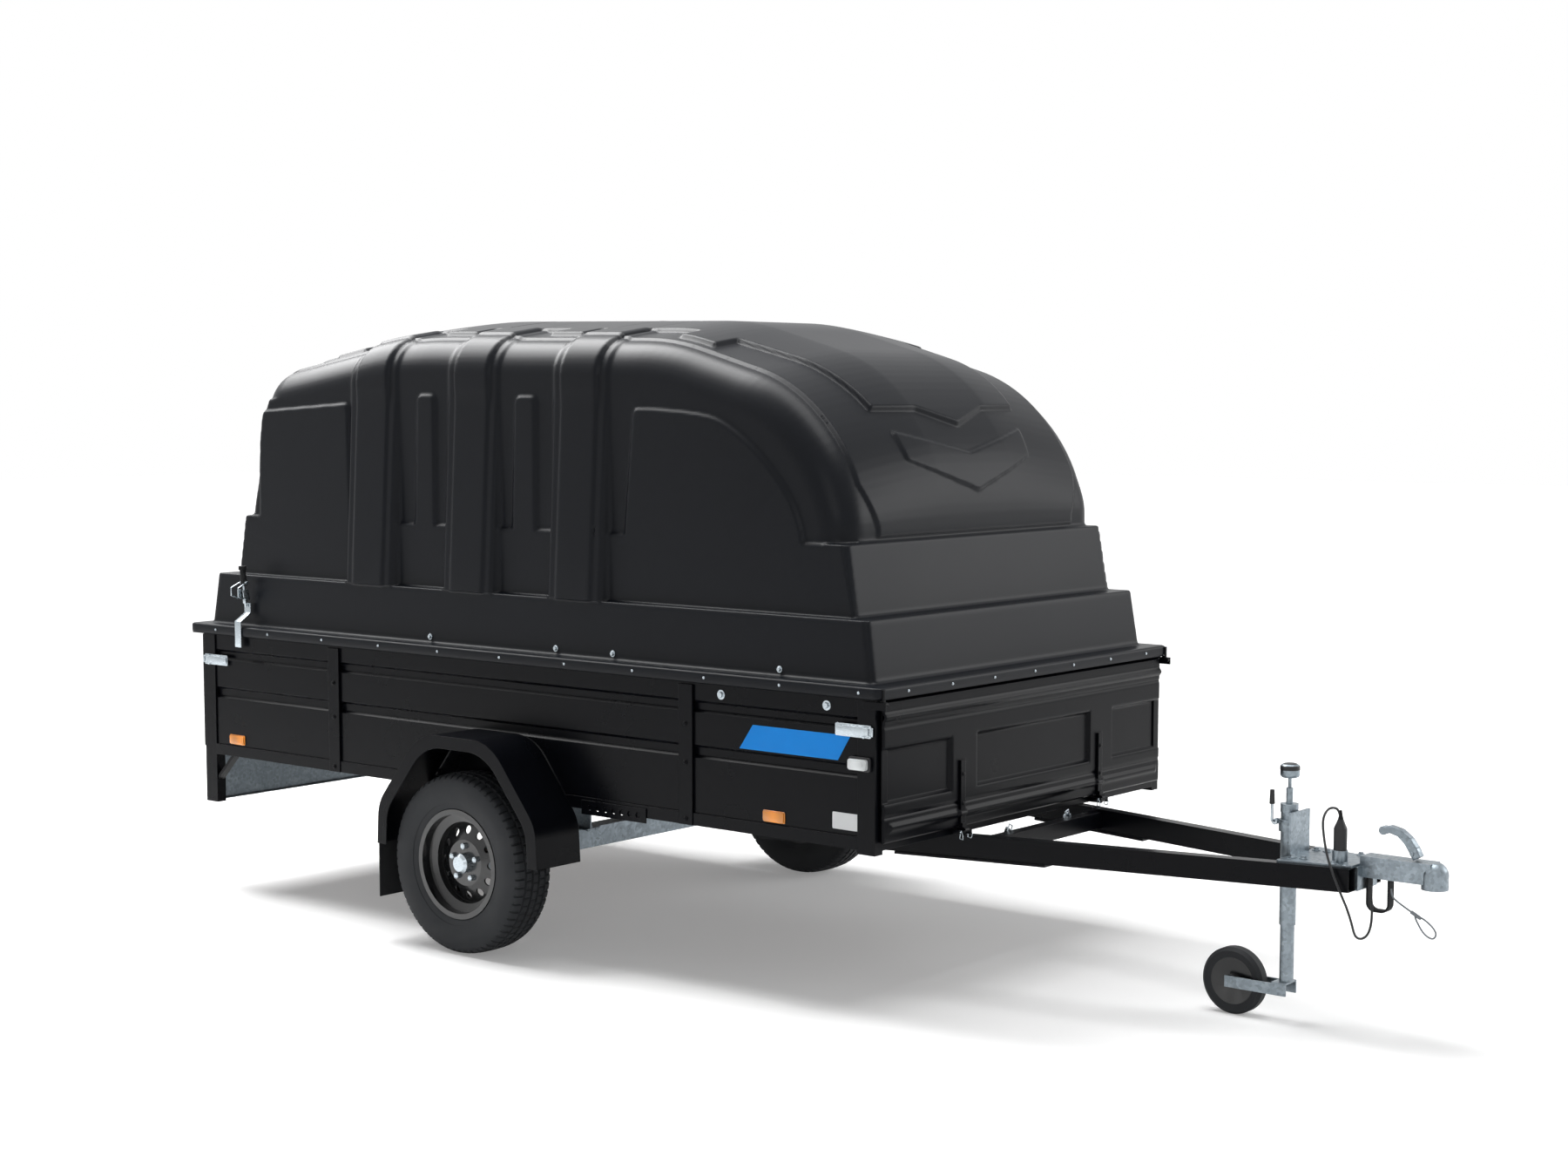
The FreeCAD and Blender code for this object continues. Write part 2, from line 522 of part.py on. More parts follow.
def lid():
    """Flange, two stepped tiers and a domed roof with raised bands, all one moulding."""
    outer = lid_body(0)
    proud = lid_body(-D.band_out)[2].fuse(dome(D.band_out))
    bands = []
    for i in range(3):
        x = -D.band_first + i * D.band_pitch
        slot = box_between(x - D.band_wide / 2, x + D.band_wide / 2, -D.flange_half,
                           D.flange_half, D.tier_one_top, D.roof_high + D.overrun)
        bands.append(proud.common(slot))
    block_of_lid = outer[0].fuse([outer[1], outer[2], dome(0)] + bands)
    inner = lid_body(D.lid_wall)
    hollow = inner[0].fuse([inner[1], inner[2], dome(-D.lid_wall)])
    sub_part("lid_shell", feature("lid_moulding", block_of_lid.cut(hollow)))

    pin_x = D.flange_front + D.hinge_out
    y_out = D.post_half - D.ear_gap
    y_in = D.gate_half + D.hinge_out
    leaf = box_between(D.flange_front - D.hinge_out, D.flange_front + D.hinge_leaf,
                       -y_out, -y_in, D.hinge_z, D.flange_top - D.hinge_leaf)
    lug = box_between(D.flange_front - D.hinge_out, pin_x, -y_out, -y_in,
                      D.hinge_z - D.hinge_leaf, D.hinge_z + D.hinge_leaf)
    eye = Part.makeCylinder(D.hinge_eye_radius, y_out - y_in, V(pin_x, -y_out, D.hinge_z), LEFT)
    hole = Part.makeCylinder(D.hinge_pin_radius + D.running_gap, D.post_half,
                             V(pin_x, -D.post_half, D.hinge_z), LEFT)
    solid = leaf.fuse([lug, eye]).cut([outer[0], hole]).removeSplitter()
    both_sides("lid_hinge_leaves", feature("lid_leaf", solid))

    plate = box_between(D.post_front - D.hinge_back, pin_x + D.hinge_eye_radius,
                        -D.post_half - D.hinge_plate, -D.post_half,
                        D.hinge_z - 2 * D.hinge_eye_radius,
                        D.hinge_z + D.hinge_eye_radius - D.ear_gap)
    pin = Part.makeCylinder(D.hinge_pin_radius, D.post_half + D.hinge_plate - y_in,
                            V(pin_x, -D.post_half - D.hinge_plate, D.hinge_z), LEFT)
    both_sides("lid_hinge_plates", feature("lid_hinge", plate.fuse(pin).removeSplitter()))

    base = D.flange_top - D.flange_round

    def rear_face(z):
        return -D.tier_one_rear + D.tier_one_lean * (z - base) / (D.tier_one_top - base)
    low, high = D.flange_top + D.latch_deep, D.tier_one_top - D.latch_deep
    points = [V(rear_face(low), 0, low), V(rear_face(low) - D.latch_deep, 0, low),
              V(rear_face(high) - D.latch_deep, 0, high), V(rear_face(high), 0, high)]
    body = rounded_face(points, [0] * len(points)).extrude(LEFT * D.grip_wide)
    body.translate(V(0, -D.strap_half - D.grip_wide / 2, 0))
    strap = box_between(-D.flange_rear - D.strap_thick, -D.flange_rear,
                        -D.strap_half - D.strap_wide / 2, -D.strap_half + D.strap_wide / 2,
                        D.flange_bottom, D.flange_top)
    bend = box_between(-D.flange_rear - D.strap_thick, rear_face(D.flange_top),
                       -D.strap_half - D.strap_wide / 2, -D.strap_half + D.strap_wide / 2,
                       D.flange_top, D.flange_top + D.strap_thick)
    hook = strap.fuse(bend).removeSplitter().cut(outer[1])
    both_sides("lid_latches", feature("lid_latch", Part.makeCompound([body, hook])))


def revolved(points, centre):
    """A ring or disc turned about the wheel's axis, from (across, radius) points."""
    ring = [V(0, across, radius) for across, radius in points]
    face = Part.Face(Part.makePolygon(ring + ring[:1]))
    solid = face.revolve(V(), LEFT, 360)
    solid.translate(centre)
    return solid


def wheels():
    """Tyre, steel rim with round vents, and hub, one set on each side."""
    half = D.tyre_wide / 2
    bead = D.tyre_wide * 0.4
    centre = V(0, -D.track_half, D.tyre_radius)
    side = [V(0, -bead, D.bead_radius), V(0, -bead, D.rim_radius)]
    sidewall = Part.Arc(side[1], V(0, -half, (D.rim_radius + D.tyre_radius) / 2),
                        V(0, -half + D.tread_round, D.tyre_radius - D.tread_crown))
    tread = Part.Arc(V(0, -half + D.tread_round, D.tyre_radius - D.tread_crown),
                     V(0, 0, D.tyre_radius),
                     V(0, half - D.tread_round, D.tyre_radius - D.tread_crown))
    other = Part.Arc(V(0, half - D.tread_round, D.tyre_radius - D.tread_crown),
                     V(0, half, (D.rim_radius + D.tyre_radius) / 2), V(0, bead, D.rim_radius))
    section = Part.Wire([Part.LineSegment(side[0], side[1]).toShape(), sidewall.toShape(),
                         tread.toShape(), other.toShape(),
                         Part.LineSegment(V(0, bead, D.rim_radius),
                                          V(0, bead, D.bead_radius)).toShape(),
                         Part.LineSegment(V(0, bead, D.bead_radius), side[0]).toShape()])
    tyre = Part.Face(section).revolve(V(), LEFT, 360)
    tyre.translate(centre)

    wall = D.rim_wall
    well_share, seat_share = 0.36, 0.5
    outside = [(-bead - wall, D.rim_radius), (-bead, D.rim_radius), (-bead, D.bead_radius),
               (-bead * seat_share, D.bead_radius), (-bead * well_share, D.well_radius),
               (bead * well_share, D.well_radius), (bead * seat_share, D.bead_radius),
               (bead, D.bead_radius), (bead, D.rim_radius), (bead + wall, D.rim_radius)]
    inside = [(bead + wall, D.bead_radius - wall), (bead * seat_share + wall,
              D.bead_radius - wall), (bead * well_share + wall, D.well_radius - wall),
              (-bead * well_share - wall, D.well_radius - wall),
              (-bead * seat_share - wall, D.bead_radius - wall),
              (-bead - wall, D.bead_radius - wall)]
    barrel = revolved(outside + inside, centre)
    # the disc is dished: a flat ring for the bolts, then a cone out to the well
    face = -D.disc_out
    flat, edge = D.bolt_ring_radius + D.bolt_edge, D.well_radius - wall
    disc = revolved([(face - D.disc_thick, D.hub_radius), (face - D.disc_thick, flat),
                     (face + D.disc_dish - D.disc_thick, edge), (face + D.disc_dish, edge),
                     (face, flat), (face, D.hub_radius)], centre)
    vents = []
    for i in range(VENTS):
        turn = 2 * math.pi * i / VENTS
        at = centre + V(math.sin(turn), 0, math.cos(turn)) * D.vent_ring_radius
        at.y -= D.tyre_wide / 2
        vents.append(Part.makeCylinder(D.vent_radius, D.tyre_wide, at, LEFT))
    rim = barrel.fuse(disc.cut(vents)).removeSplitter()

    flange = D.hub_flange
    hub = revolved([(D.hub_back, D.stub_radius + D.running_gap),
                    (D.hub_back, D.hub_radius + flange), (face + flange, D.hub_radius + flange),
                    (face + flange, flat), (face, flat), (face, D.hub_radius),
                    (-D.hub_out + flange, D.hub_radius), (-D.hub_out, D.hub_radius - flange),
                    (-D.hub_out, 0), (face, 0), (face, D.stub_radius + D.running_gap)], centre)
    for name, piece in (("tyre", tyre), ("rim", rim), ("hub", hub)):
        right = sub_part("wheel_%s_right" % name, feature("wheel_" + name, piece))
        sub_part("wheel_%s_left" % name, mirrored("wheel_%s_other" % name, right))

    stub = Part.makeCylinder(D.stub_radius, D.track_half + D.disc_out - D.axle_half
                             - D.arm_plate - D.running_gap,
                             V(0, -D.track_half - D.disc_out + D.running_gap, D.tyre_radius), LEFT)
    root = V(D.axle_ahead, -D.axle_half - D.arm_plate, D.axle_height)
    tip = V(0, -D.axle_half - D.arm_plate, D.tyre_radius)
    along = (root - tip).normalize()
    up = V(-along.z, 0, along.x)
    corners = [tip - along * D.arm_end - up * D.arm_end, root + along * D.arm_end - up * D.arm_end,
               root + along * D.arm_end + up * D.arm_end, tip - along * D.arm_end + up * D.arm_end]
    arm = rounded_face(corners, [D.arm_end * 0.9] * 4).extrude(LEFT * D.arm_plate)
    both_sides("axle_arms", feature("axle_arm", arm.fuse(stub).removeSplitter()))


def axle():
    """The galvanised axle tube ahead of the wheels and the brackets that carry it."""
    outer = block("axle_outside", "axle_ahead - axle_tube / 2", "axle_ahead + axle_tube / 2",
                  "-axle_half", "axle_half", "axle_height - axle_tube / 2",
                  "axle_height + axle_tube / 2")
    bore = block("axle_inside", "axle_ahead - axle_tube / 2 + axle_wall",
                 "axle_ahead + axle_tube / 2 - axle_wall", "-axle_half + axle_plug",
                 "axle_half - axle_plug", "axle_height - axle_tube / 2 + axle_wall",
                 "axle_height + axle_tube / 2 - axle_wall")
    sub_part("axle_beam", cut("axle_tube_cut", outer, bore))
    web = block("axle_web", "axle_ahead - axle_tube", "axle_ahead + axle_tube",
                "-beam_half - sill_wall", "-beam_half + sill_wall",
                "axle_height + axle_tube / 2", "sill_top - beam_tall")
    foot = block("axle_foot", "axle_ahead - axle_tube", "axle_ahead + axle_tube",
                 "-beam_half - beam_wide / 2", "-beam_half + beam_wide / 2",
                 "axle_height + axle_tube / 2", "axle_height + axle_tube / 2 + sill_wall")
    head = block("axle_head", "axle_ahead - axle_tube", "axle_ahead + axle_tube",
                 "-beam_half - beam_wide / 2", "-beam_half + beam_wide / 2",
                 "sill_top - beam_tall - sill_wall", "sill_top - beam_tall")
    both_sides("axle_brackets", fuse("axle_bracket", web, foot, head))


def guard_face(inset, bottom):
    """The mudguard's arch, with straight flanks and a flat top, as a face."""
    shoulder_share, knee_share = 0.98, 0.44
    half = D.guard_half_long - inset
    top = D.guard_top - inset
    knee = D.guard_half_long * knee_share - inset * (1 - knee_share)
    shoulder = D.guard_half_long * shoulder_share - inset
    level = D.guard_shoulder - inset * knee_share
    points = [V(-half, 0, bottom), V(-shoulder, 0, level), V(-knee, 0, top), V(knee, 0, top),
              V(shoulder, 0, level), V(half, 0, bottom)]
    for point in points:
        point.x += D.guard_mid
    radii = [0, D.guard_round, D.guard_crown, D.guard_crown, D.guard_round, 0]
    return rounded_face(points, radii)


def mudguards():
    """Folded steel guards with a turned-down lip, mud flaps behind and step plates ahead."""
    deep = D.guard_half - D.post_half
    body = guard_face(0, D.guard_bottom).extrude(LEFT * deep)
    under = guard_face(D.guard_sheet, D.guard_bottom - D.overrun).extrude(
        LEFT * (deep + D.overrun))
    under.translate(V(0, D.guard_sheet, 0))
    mouth = guard_face(D.guard_lip, D.guard_bottom - D.overrun).extrude(LEFT * deep)
    guard = body.cut([under, mouth])
    guard.translate(V(0, -D.guard_half, 0))
    right = sub_part("mudguard_right", feature("mudguard_pressing", guard))
    sub_part("mudguard_left", mirrored("mudguard_pressing_left", right))
    both_sides("mud_flaps", block("mud_flap", "guard_mid - guard_half_long - flap_thick",
                                  "guard_mid - guard_half_long", "-guard_half + flap_edge",
                                  "-post_half - flap_edge", "flap_bottom",
                                  "guard_bottom + flap_lap"))
    start = D.guard_mid + D.guard_half_long + D.flap_edge
    plate = box_between(start, start + D.step_long, -D.post_half - D.flap_thick, -D.post_half,
                        D.sill_bottom + D.step_lap - D.step_tall, D.sill_bottom + D.step_lap)
    holes = []
    for i in range(1, STEP_HOLES + 1):
        at = V(start + D.step_long * i / (STEP_HOLES + 1), -D.post_half - D.overrun,
               D.sill_bottom + D.step_lap - D.step_tall / 2)
        holes.append(Part.makeCylinder(D.step_hole_radius, D.post_half, at, LEFT))
    both_sides("step_plates", feature("step_plate", plate.cut(holes)))


def draw_half(x):
    """Half the distance between the drawbar's two beams at a place along it."""
    slope = (D.draw_back_half - D.draw_nose_half) / (D.draw_nose - D.pivot_x)
    return D.draw_back_half - slope * (x - D.pivot_x)


def beam_strip(x_from, x_to, wide, z_from, z_to):
    """A straight bar that follows the right-hand beam of the V."""
    points = []
    for x, sign in ((x_from, -1), (x_to, -1), (x_to, 1), (x_from, 1)):
        points.append(V(x, -draw_half(x) + sign * wide / 2, z_from))
    face = Part.Face(Part.makePolygon(points + points[:1]))
    return face.extrude(UP * (z_to - z_from))


def drawbar():
    """The V of two box beams that tilts under the box, with what it carries."""
    low = D.draw_top - D.draw_tall
    pivot_z = low + D.draw_tall / 2
    start = D.pivot_x - D.draw_tail
    outside = beam_strip(start, D.draw_nose, D.draw_wide, low, D.draw_top)
    bore = beam_strip(start - D.overrun, D.draw_nose + D.overrun, D.draw_wide - 2 * D.draw_wall,
                      low + D.draw_wall, D.draw_top - D.draw_wall)
    y = -draw_half(D.pivot_x)
    reach = D.draw_wide
    hole = Part.makeCylinder(D.pivot_radius + D.running_gap, 2 * reach,
                             V(D.pivot_x, y - reach, pivot_z), LEFT)
    both_sides("drawbar_beams", feature("drawbar_beam", outside.cut([bore, hole])))
    both_sides("drawbar_doublers",
               feature("drawbar_doubler", beam_strip(D.doubler_start, D.doubler_end,
                                                     D.draw_wide + D.doubler_tall,
                                                     low - D.doubler_tall, low)))

    plates = []
    gap = D.draw_wide / 2 + D.pivot_clear
    for side in (-1, 1):
        y_plate = y + side * (gap + D.pivot_plate / 2) - D.pivot_plate / 2
        plates.append(box_between(D.pivot_x - D.pivot_long / 2, D.pivot_x + D.pivot_long / 2,
                                  y_plate, y_plate + D.pivot_plate,
                                  pivot_z - D.draw_tail, D.sill_top - D.beam_tall))
    pin_long = 2 * (gap + D.pivot_plate)
    pin = Part.makeCylinder(D.pivot_radius, pin_long,
                            V(D.pivot_x, y - pin_long / 2, pivot_z), LEFT)
    both_sides("drawbar_pivots", feature("drawbar_pivot", pin.fuse(plates).removeSplitter()))

    bar_back, bar_front = D.crossbar_x, D.crossbar_x + D.crossbar_long
    bar = box_between(bar_back, bar_front, -draw_half(bar_front), draw_half(bar_front),
                      low + D.doubler_tall, D.draw_top - D.doubler_tall)
    right = beam_strip(start, D.draw_nose, D.draw_wide, low, D.draw_top)
    left = right.mirror(V(), LEFT)
    sub_part("drawbar_crossbar", feature("crossbar", bar.cut([right, left])))
    catch = box_between(bar_back - D.catch_deep, bar_back, -D.catch_half - D.catch_wide / 2,
                        -D.catch_half + D.catch_wide / 2, low + D.doubler_tall,
                        D.draw_top + D.catch_up)
    both_sides("toggle_catches", feature("toggle_catch", catch))

    nose = D.draw_nose
    inner = draw_half(nose) - D.draw_wide / 2
    web = box_between(nose - D.nose_plate_thick, nose, -inner, inner, low, D.draw_top)
    top_points = [V(D.nose_plate_start, -draw_half(D.nose_plate_start), D.draw_top),
                  V(nose, -draw_half(nose), D.draw_top), V(nose, draw_half(nose), D.draw_top),
                  V(D.nose_plate_start, draw_half(D.nose_plate_start), D.draw_top)]
    top = Part.Face(Part.makePolygon(top_points + top_points[:1])).extrude(
        UP * D.nose_plate_thick)
    sub_part("drawbar_nose_plate", feature("nose_plate", web.fuse(top).removeSplitter()))

    cup_x = D.coupling_tip - D.cup_radius
    middle = D.cup_bottom + D.coupling_tall / 2 + D.cup_drop
    neck = box_between(nose, cup_x, -D.coupling_wide / 2, D.coupling_wide / 2,
                       middle - D.coupling_tall / 2, middle + D.coupling_tall / 2)
    flange = box_between(nose, nose + D.coupling_flange, -inner, inner, low, D.draw_top)
    cup = Part.makeCylinder(D.cup_radius, D.cup_tall, V(cup_x, 0, D.cup_bottom), UP)
    crown = Part.makeSphere(D.cup_radius, V(cup_x, 0, D.cup_bottom + D.cup_tall))
    crown = crown.common(box_between(cup_x - D.cup_radius, cup_x + D.cup_radius, -D.cup_radius,
                                     D.cup_radius, D.cup_bottom,
                                     D.cup_bottom + D.cup_tall + D.cup_crown))
    channel = box_between(nose + D.coupling_flange, cup_x - D.cup_radius,
                          -D.coupling_wide / 2 + D.draw_wall, D.coupling_wide / 2 - D.draw_wall,
                          low - D.overrun, middle + D.coupling_tall / 2 - D.draw_wall)
    socket = Part.makeCylinder(D.ball_radius + D.ball_gap, D.socket_deep + D.overrun,
                               V(cup_x, 0, D.cup_bottom - D.overrun), UP)
    body = neck.cut(channel).fuse([flange, cup, crown]).removeSplitter().cut(socket)
    sub_part("coupling_body", feature("coupling_casting", body))

    top_z = middle + D.coupling_tall / 2
    handle_points = [V(cup_x - D.cup_radius, 0, top_z),
                     V(cup_x - D.cup_radius + D.handle_thick, 0, top_z),
                     V(cup_x - D.cup_radius + D.handle_thick, 0, top_z + D.handle_bend),
                     V(D.handle_end, 0, D.handle_top), V(D.handle_end - D.handle_thick / 2, 0,
                                                         D.handle_top - D.handle_thick),
                     V(cup_x - D.cup_radius, 0, top_z + D.handle_bend - D.handle_thick)]
    grip = rounded_face(handle_points, [0, 0, D.handle_thick, D.handle_thick / 3,
                                        D.handle_thick / 3, 0])
    grip = grip.extrude(LEFT * D.handle_wide)
    grip.translate(V(0, -D.handle_wide / 2, 0))
    sub_part("coupling_handle", feature("handle_bar", grip.cut(crown)))

    ceiling = middle + D.coupling_tall / 2 - D.draw_wall
    flat = D.loop_sheet
    outer_face = rounded_face([V(D.loop_back, 0, ceiling), V(D.loop_back, 0, D.loop_bottom),
                               V(D.loop_front, 0, D.loop_bottom), V(D.loop_front, 0, ceiling)],
                              [0, D.loop_round, D.loop_round, 0])
    inner_face = rounded_face([V(D.loop_back + flat, 0, ceiling + flat),
                               V(D.loop_back + flat, 0, D.loop_bottom + flat),
                               V(D.loop_front - flat, 0, D.loop_bottom + flat),
                               V(D.loop_front - flat, 0, ceiling + flat)],
                              [0, D.loop_round - flat, D.loop_round - flat, 0])
    loop = outer_face.cut(inner_face).extrude(LEFT * D.loop_wide)
    loop.translate(V(0, -D.loop_wide / 2, 0))
    sub_part("towing_loop", feature("loop_strap", loop))


def jockey():
    """Clamp, outer tube, crank, inner leg, swivelling fork and wheel."""
    low = D.draw_top - D.draw_tall
    outer = Part.makeCylinder(D.mast_radius, D.mast_top - D.mast_bottom,
                              V(D.mast_x, 0, D.mast_bottom), UP)
    bore = Part.makeCylinder(D.mast_bore, D.mast_top - D.mast_bottom + D.overrun,
                             V(D.mast_x, 0, D.mast_bottom - D.overrun), UP)
    collar = Part.makeCylinder(D.collar_radius, D.collar_tall, V(D.mast_x, 0, D.mast_top), UP)
    sub_part("jockey_mast", feature("mast_tube", outer.cut(bore).fuse(collar).removeSplitter()))

    seat = D.mast_top + D.collar_tall
    crank = Part.makeCylinder(D.crank_radius, D.crank_top - seat, V(D.mast_x, 0, seat), UP)
    stem = Part.makeCylinder(D.crank_radius / 2, D.knob_bottom - D.crank_top,
                             V(D.mast_x, 0, D.crank_top), UP)
    knob = Part.makeCylinder(D.knob_radius, D.knob_tall, V(D.mast_x, 0, D.knob_bottom), UP)
    knob = knob.makeFillet(D.knob_tall / 4, knob.Edges)
    sub_part("jockey_crank", feature("crank", crank.fuse([stem, knob])))

    plate_x = D.mast_x + D.clamp_radius
    ring = Part.makeCylinder(D.clamp_radius, D.clamp_tall, V(D.mast_x, 0, D.clamp_z), UP)
    ring = ring.cut(Part.makeCylinder(D.mast_radius, D.clamp_tall, V(D.mast_x, 0, D.clamp_z), UP))
    web = box_between(plate_x, plate_x + D.nose_plate_thick, -D.clamp_half, D.clamp_half,
                      D.draw_top + D.nose_plate_thick, D.clamp_top)
    tab = box_between(plate_x - D.clamp_radius / 3, plate_x, -D.clamp_radius / 2,
                      D.clamp_radius / 2, D.clamp_z, D.clamp_z + D.clamp_tall)
    tab = tab.cut(Part.makeCylinder(D.mast_radius, D.clamp_tall, V(D.mast_x, 0, D.clamp_z), UP))
    sub_part("jockey_clamp", feature("clamp", ring.fuse([web, tab]).removeSplitter()))

    leg = Part.makeCylinder(D.leg_radius, D.leg_top - D.leg_bottom,
                            V(D.mast_x, 0, D.leg_bottom), UP)
    hollow = Part.makeCylinder(D.leg_radius - D.leg_wall, D.leg_top - D.leg_bottom,
                               V(D.mast_x, 0, D.leg_bottom), UP)
    sub_part("jockey_leg", feature("leg_tube", leg.cut(hollow)))

    wheel_x = D.mast_x - D.jockey_trail
    seat = D.leg_bottom - D.running_gap
    half = D.jockey_wide / 2 + D.fork_gap
    arm_z = D.jockey_radius
    arms = []
    for side in (-1, 1):
        y = side * (half + D.fork_sheet / 2) - D.fork_sheet / 2
        arms.append(box_between(wheel_x - D.fork_tall / 2, D.mast_x + D.fork_neck / 2, y,
                                y + D.fork_sheet, arm_z - D.fork_tall / 2,
                                arm_z + D.fork_tall / 2))
    bridge = box_between(D.mast_x - D.fork_neck, D.mast_x + D.fork_neck / 2,
                         -half - D.fork_sheet, half + D.fork_sheet, seat - D.fork_sheet, seat)
    neck = Part.makeCylinder(D.leg_radius - D.leg_wall - D.running_gap,
                             D.neck_tall, V(D.mast_x, 0, seat), UP)
    pin = Part.makeCylinder(D.jockey_pin, 2 * (half + D.fork_sheet),
                            V(wheel_x, -half - D.fork_sheet, arm_z), LEFT)
    fork = bridge.fuse(arms + [neck, pin]).removeSplitter()
    sub_part("jockey_fork", feature("fork", fork))

    centre = V(wheel_x, 0, D.jockey_radius)
    wide = D.jockey_wide / 2
    bore = D.jockey_pin + D.running_gap
    seat_radius = D.jockey_radius - D.jockey_tread
    tyre = revolved([(-wide + D.fork_sheet, seat_radius), (-wide, D.jockey_radius - D.fork_gap * 2),
                     (-wide + D.fork_gap * 2, D.jockey_radius),
                     (wide - D.fork_gap * 2, D.jockey_radius),
                     (wide, D.jockey_radius - D.fork_gap * 2), (wide - D.fork_sheet, seat_radius)],
                    centre)
    hub = revolved([(-wide, bore), (-wide, D.jockey_hub), (-wide / 2, D.jockey_hub),
                    (-wide + D.fork_sheet, seat_radius), (wide - D.fork_sheet, seat_radius),
                    (wide / 2, D.jockey_hub), (wide, D.jockey_hub), (wide, bore)], centre)
    sub_part("jockey_tyre", feature("small_tyre", tyre))
    sub_part("jockey_rim", feature("small_rim", hub))


def plug():
    """The lighting plug in its parking socket on the nose plate."""
    foot = V(D.plug_x, -D.plug_half, D.draw_top + D.nose_plate_thick)
    holder = Part.makeCylinder(D.plug_radius + D.holder_wall, D.holder_tall, foot, UP)
    sub_part("plug_holder", feature("parking_socket", holder))
    body = Part.makeCylinder(D.plug_radius, D.plug_long, foot + UP * D.holder_tall, UP)
    tail = Part.makeCone(D.plug_radius, D.cable_radius * 2, D.plug_tail,
                         foot + UP * (D.holder_tall + D.plug_long), UP)
    sub_part("lighting_plug", feature("plug_body", body.fuse(tail).removeSplitter()))


def write_parts():
    """Check every object and write one file for each sub-part."""
    doc.recompute()
    for obj in doc.Objects:
        if "Invalid" in obj.State or "Error" in obj.State:
            raise RuntimeError("%s failed: %s" % (obj.Label, obj.State))
    for obj in SUB_PARTS:
        if obj.Shape.isNull() or not obj.Shape.isValid():
            raise RuntimeError("%s has no valid shape" % obj.Label)
        if not obj.Shape.Solids:
            raise RuntimeError("%s has no solid" % obj.Label)
        obj.Shape.exportStep("parts/%s.step" % obj.Label)
        box = obj.Shape.BoundBox
        print("%-24s solids %d volume %.4g x %.1f %.1f y %.1f %.1f z %.1f %.1f" % (
            obj.Label, len(obj.Shape.Solids), obj.Shape.Volume, box.XMin, box.XMax,
            box.YMin, box.YMax, box.ZMin, box.ZMax))


load_box()
rear_end()
small_lamps()
gate_latches()
end_gates()
lid()
wheels()
axle()
mudguards()
drawbar()
jockey()
plug()
write_parts()
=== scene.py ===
import math
import bmesh
import bpy
import numpy as np
from bpy.props import FloatProperty, FloatVectorProperty, IntProperty, PointerProperty
from mathutils import Matrix, Vector


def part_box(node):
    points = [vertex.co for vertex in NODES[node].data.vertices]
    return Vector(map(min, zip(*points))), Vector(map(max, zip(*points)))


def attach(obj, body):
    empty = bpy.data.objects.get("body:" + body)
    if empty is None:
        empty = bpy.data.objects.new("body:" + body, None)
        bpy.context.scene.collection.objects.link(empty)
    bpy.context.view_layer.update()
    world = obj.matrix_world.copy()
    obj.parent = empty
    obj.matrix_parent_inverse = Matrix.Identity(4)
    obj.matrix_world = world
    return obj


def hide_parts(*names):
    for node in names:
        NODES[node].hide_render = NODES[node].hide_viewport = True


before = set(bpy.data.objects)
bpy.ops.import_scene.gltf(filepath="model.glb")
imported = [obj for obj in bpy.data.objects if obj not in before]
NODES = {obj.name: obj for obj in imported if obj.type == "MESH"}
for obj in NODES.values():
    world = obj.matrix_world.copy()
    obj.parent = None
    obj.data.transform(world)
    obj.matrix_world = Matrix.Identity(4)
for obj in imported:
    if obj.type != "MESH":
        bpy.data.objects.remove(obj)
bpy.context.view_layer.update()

bl_info = {
    "name": "Covered box trailer",
    "version": (1, 0, 0),
    "blender": (4, 5, 0),
    "location": "3D view > Sidebar > Trailer",
    "description": "Finishes, fittings and studio for a packed box trailer with a moulded lid",
    "category": "Object",
}

MM = 0.001
HUB = sum(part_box("wheel_hub_right"), Vector()) / 2
FRONT, LEFT, RIGHT, TOP = (Vector(way) for way in ((1, 0, 0), (0, 1, 0), (0, -1, 0), (0, 0, 1)))
BOTH_SIDES = (-1, 1)
WELD = 1e-5
FASTENER_SEED = 4


# Places are given in millimetres: ahead of the axle, to the left and above the floor.
def at(x, y, z):
    return Vector((HUB.x + x * MM, y * MM, z * MM))


def srgb(code):
    """A colour written as sRGB hex, as the linear colour that the shaders use."""
    def turned(value):
        return value / 12.92 if value <= 0.04045 else ((value + 0.055) / 1.055) ** 2.4
    return tuple(turned(int(code[i:i + 2], 16) / 255) for i in (1, 3, 5)) + (1.0,)


def grown(colour, factor):
    return tuple(min(1.0, part * factor) for part in colour[:3]) + (1.0,)

def add(tree, kind, inputs=None, **settings):
    """Add a node: its settings by name, its inputs as values or as sockets to link from."""
    made = tree.nodes.new(kind)
    for name, value in settings.items():
        setattr(made, name, value)
    for name, value in (inputs or {}).items():
        if isinstance(value, bpy.types.NodeSocket):
            tree.links.new(value, made.inputs[name])
        else:
            made.inputs[name].default_value = value
    return made


def shader(name, colour, roughness, metallic=0.0, specular=0.5, **more):
    """A new material with one main shader, whose even values stand on its own sockets."""
    material = bpy.data.materials.new(name)
    material.use_nodes = True
    tree = material.node_tree
    main = tree.nodes["Principled BSDF"]
    main.inputs["Base Color"].default_value = colour
    main.inputs["Roughness"].default_value = roughness
    main.inputs["Metallic"].default_value = metallic
    main.inputs["Specular IOR Level"].default_value = specular
    for socket, value in more.items():
        main.inputs[socket.replace("_", " ")].default_value = value
    return material, tree, main


def noise(tree, place, size_mm, detail=2.0, rough=0.5):
    """Even noise whose bumps are about a given number of millimetres across."""
    return add(tree, "ShaderNodeTexNoise", {"Vector": place, "Scale": 1000 / size_mm,
                                            "Detail": detail, "Roughness": rough})


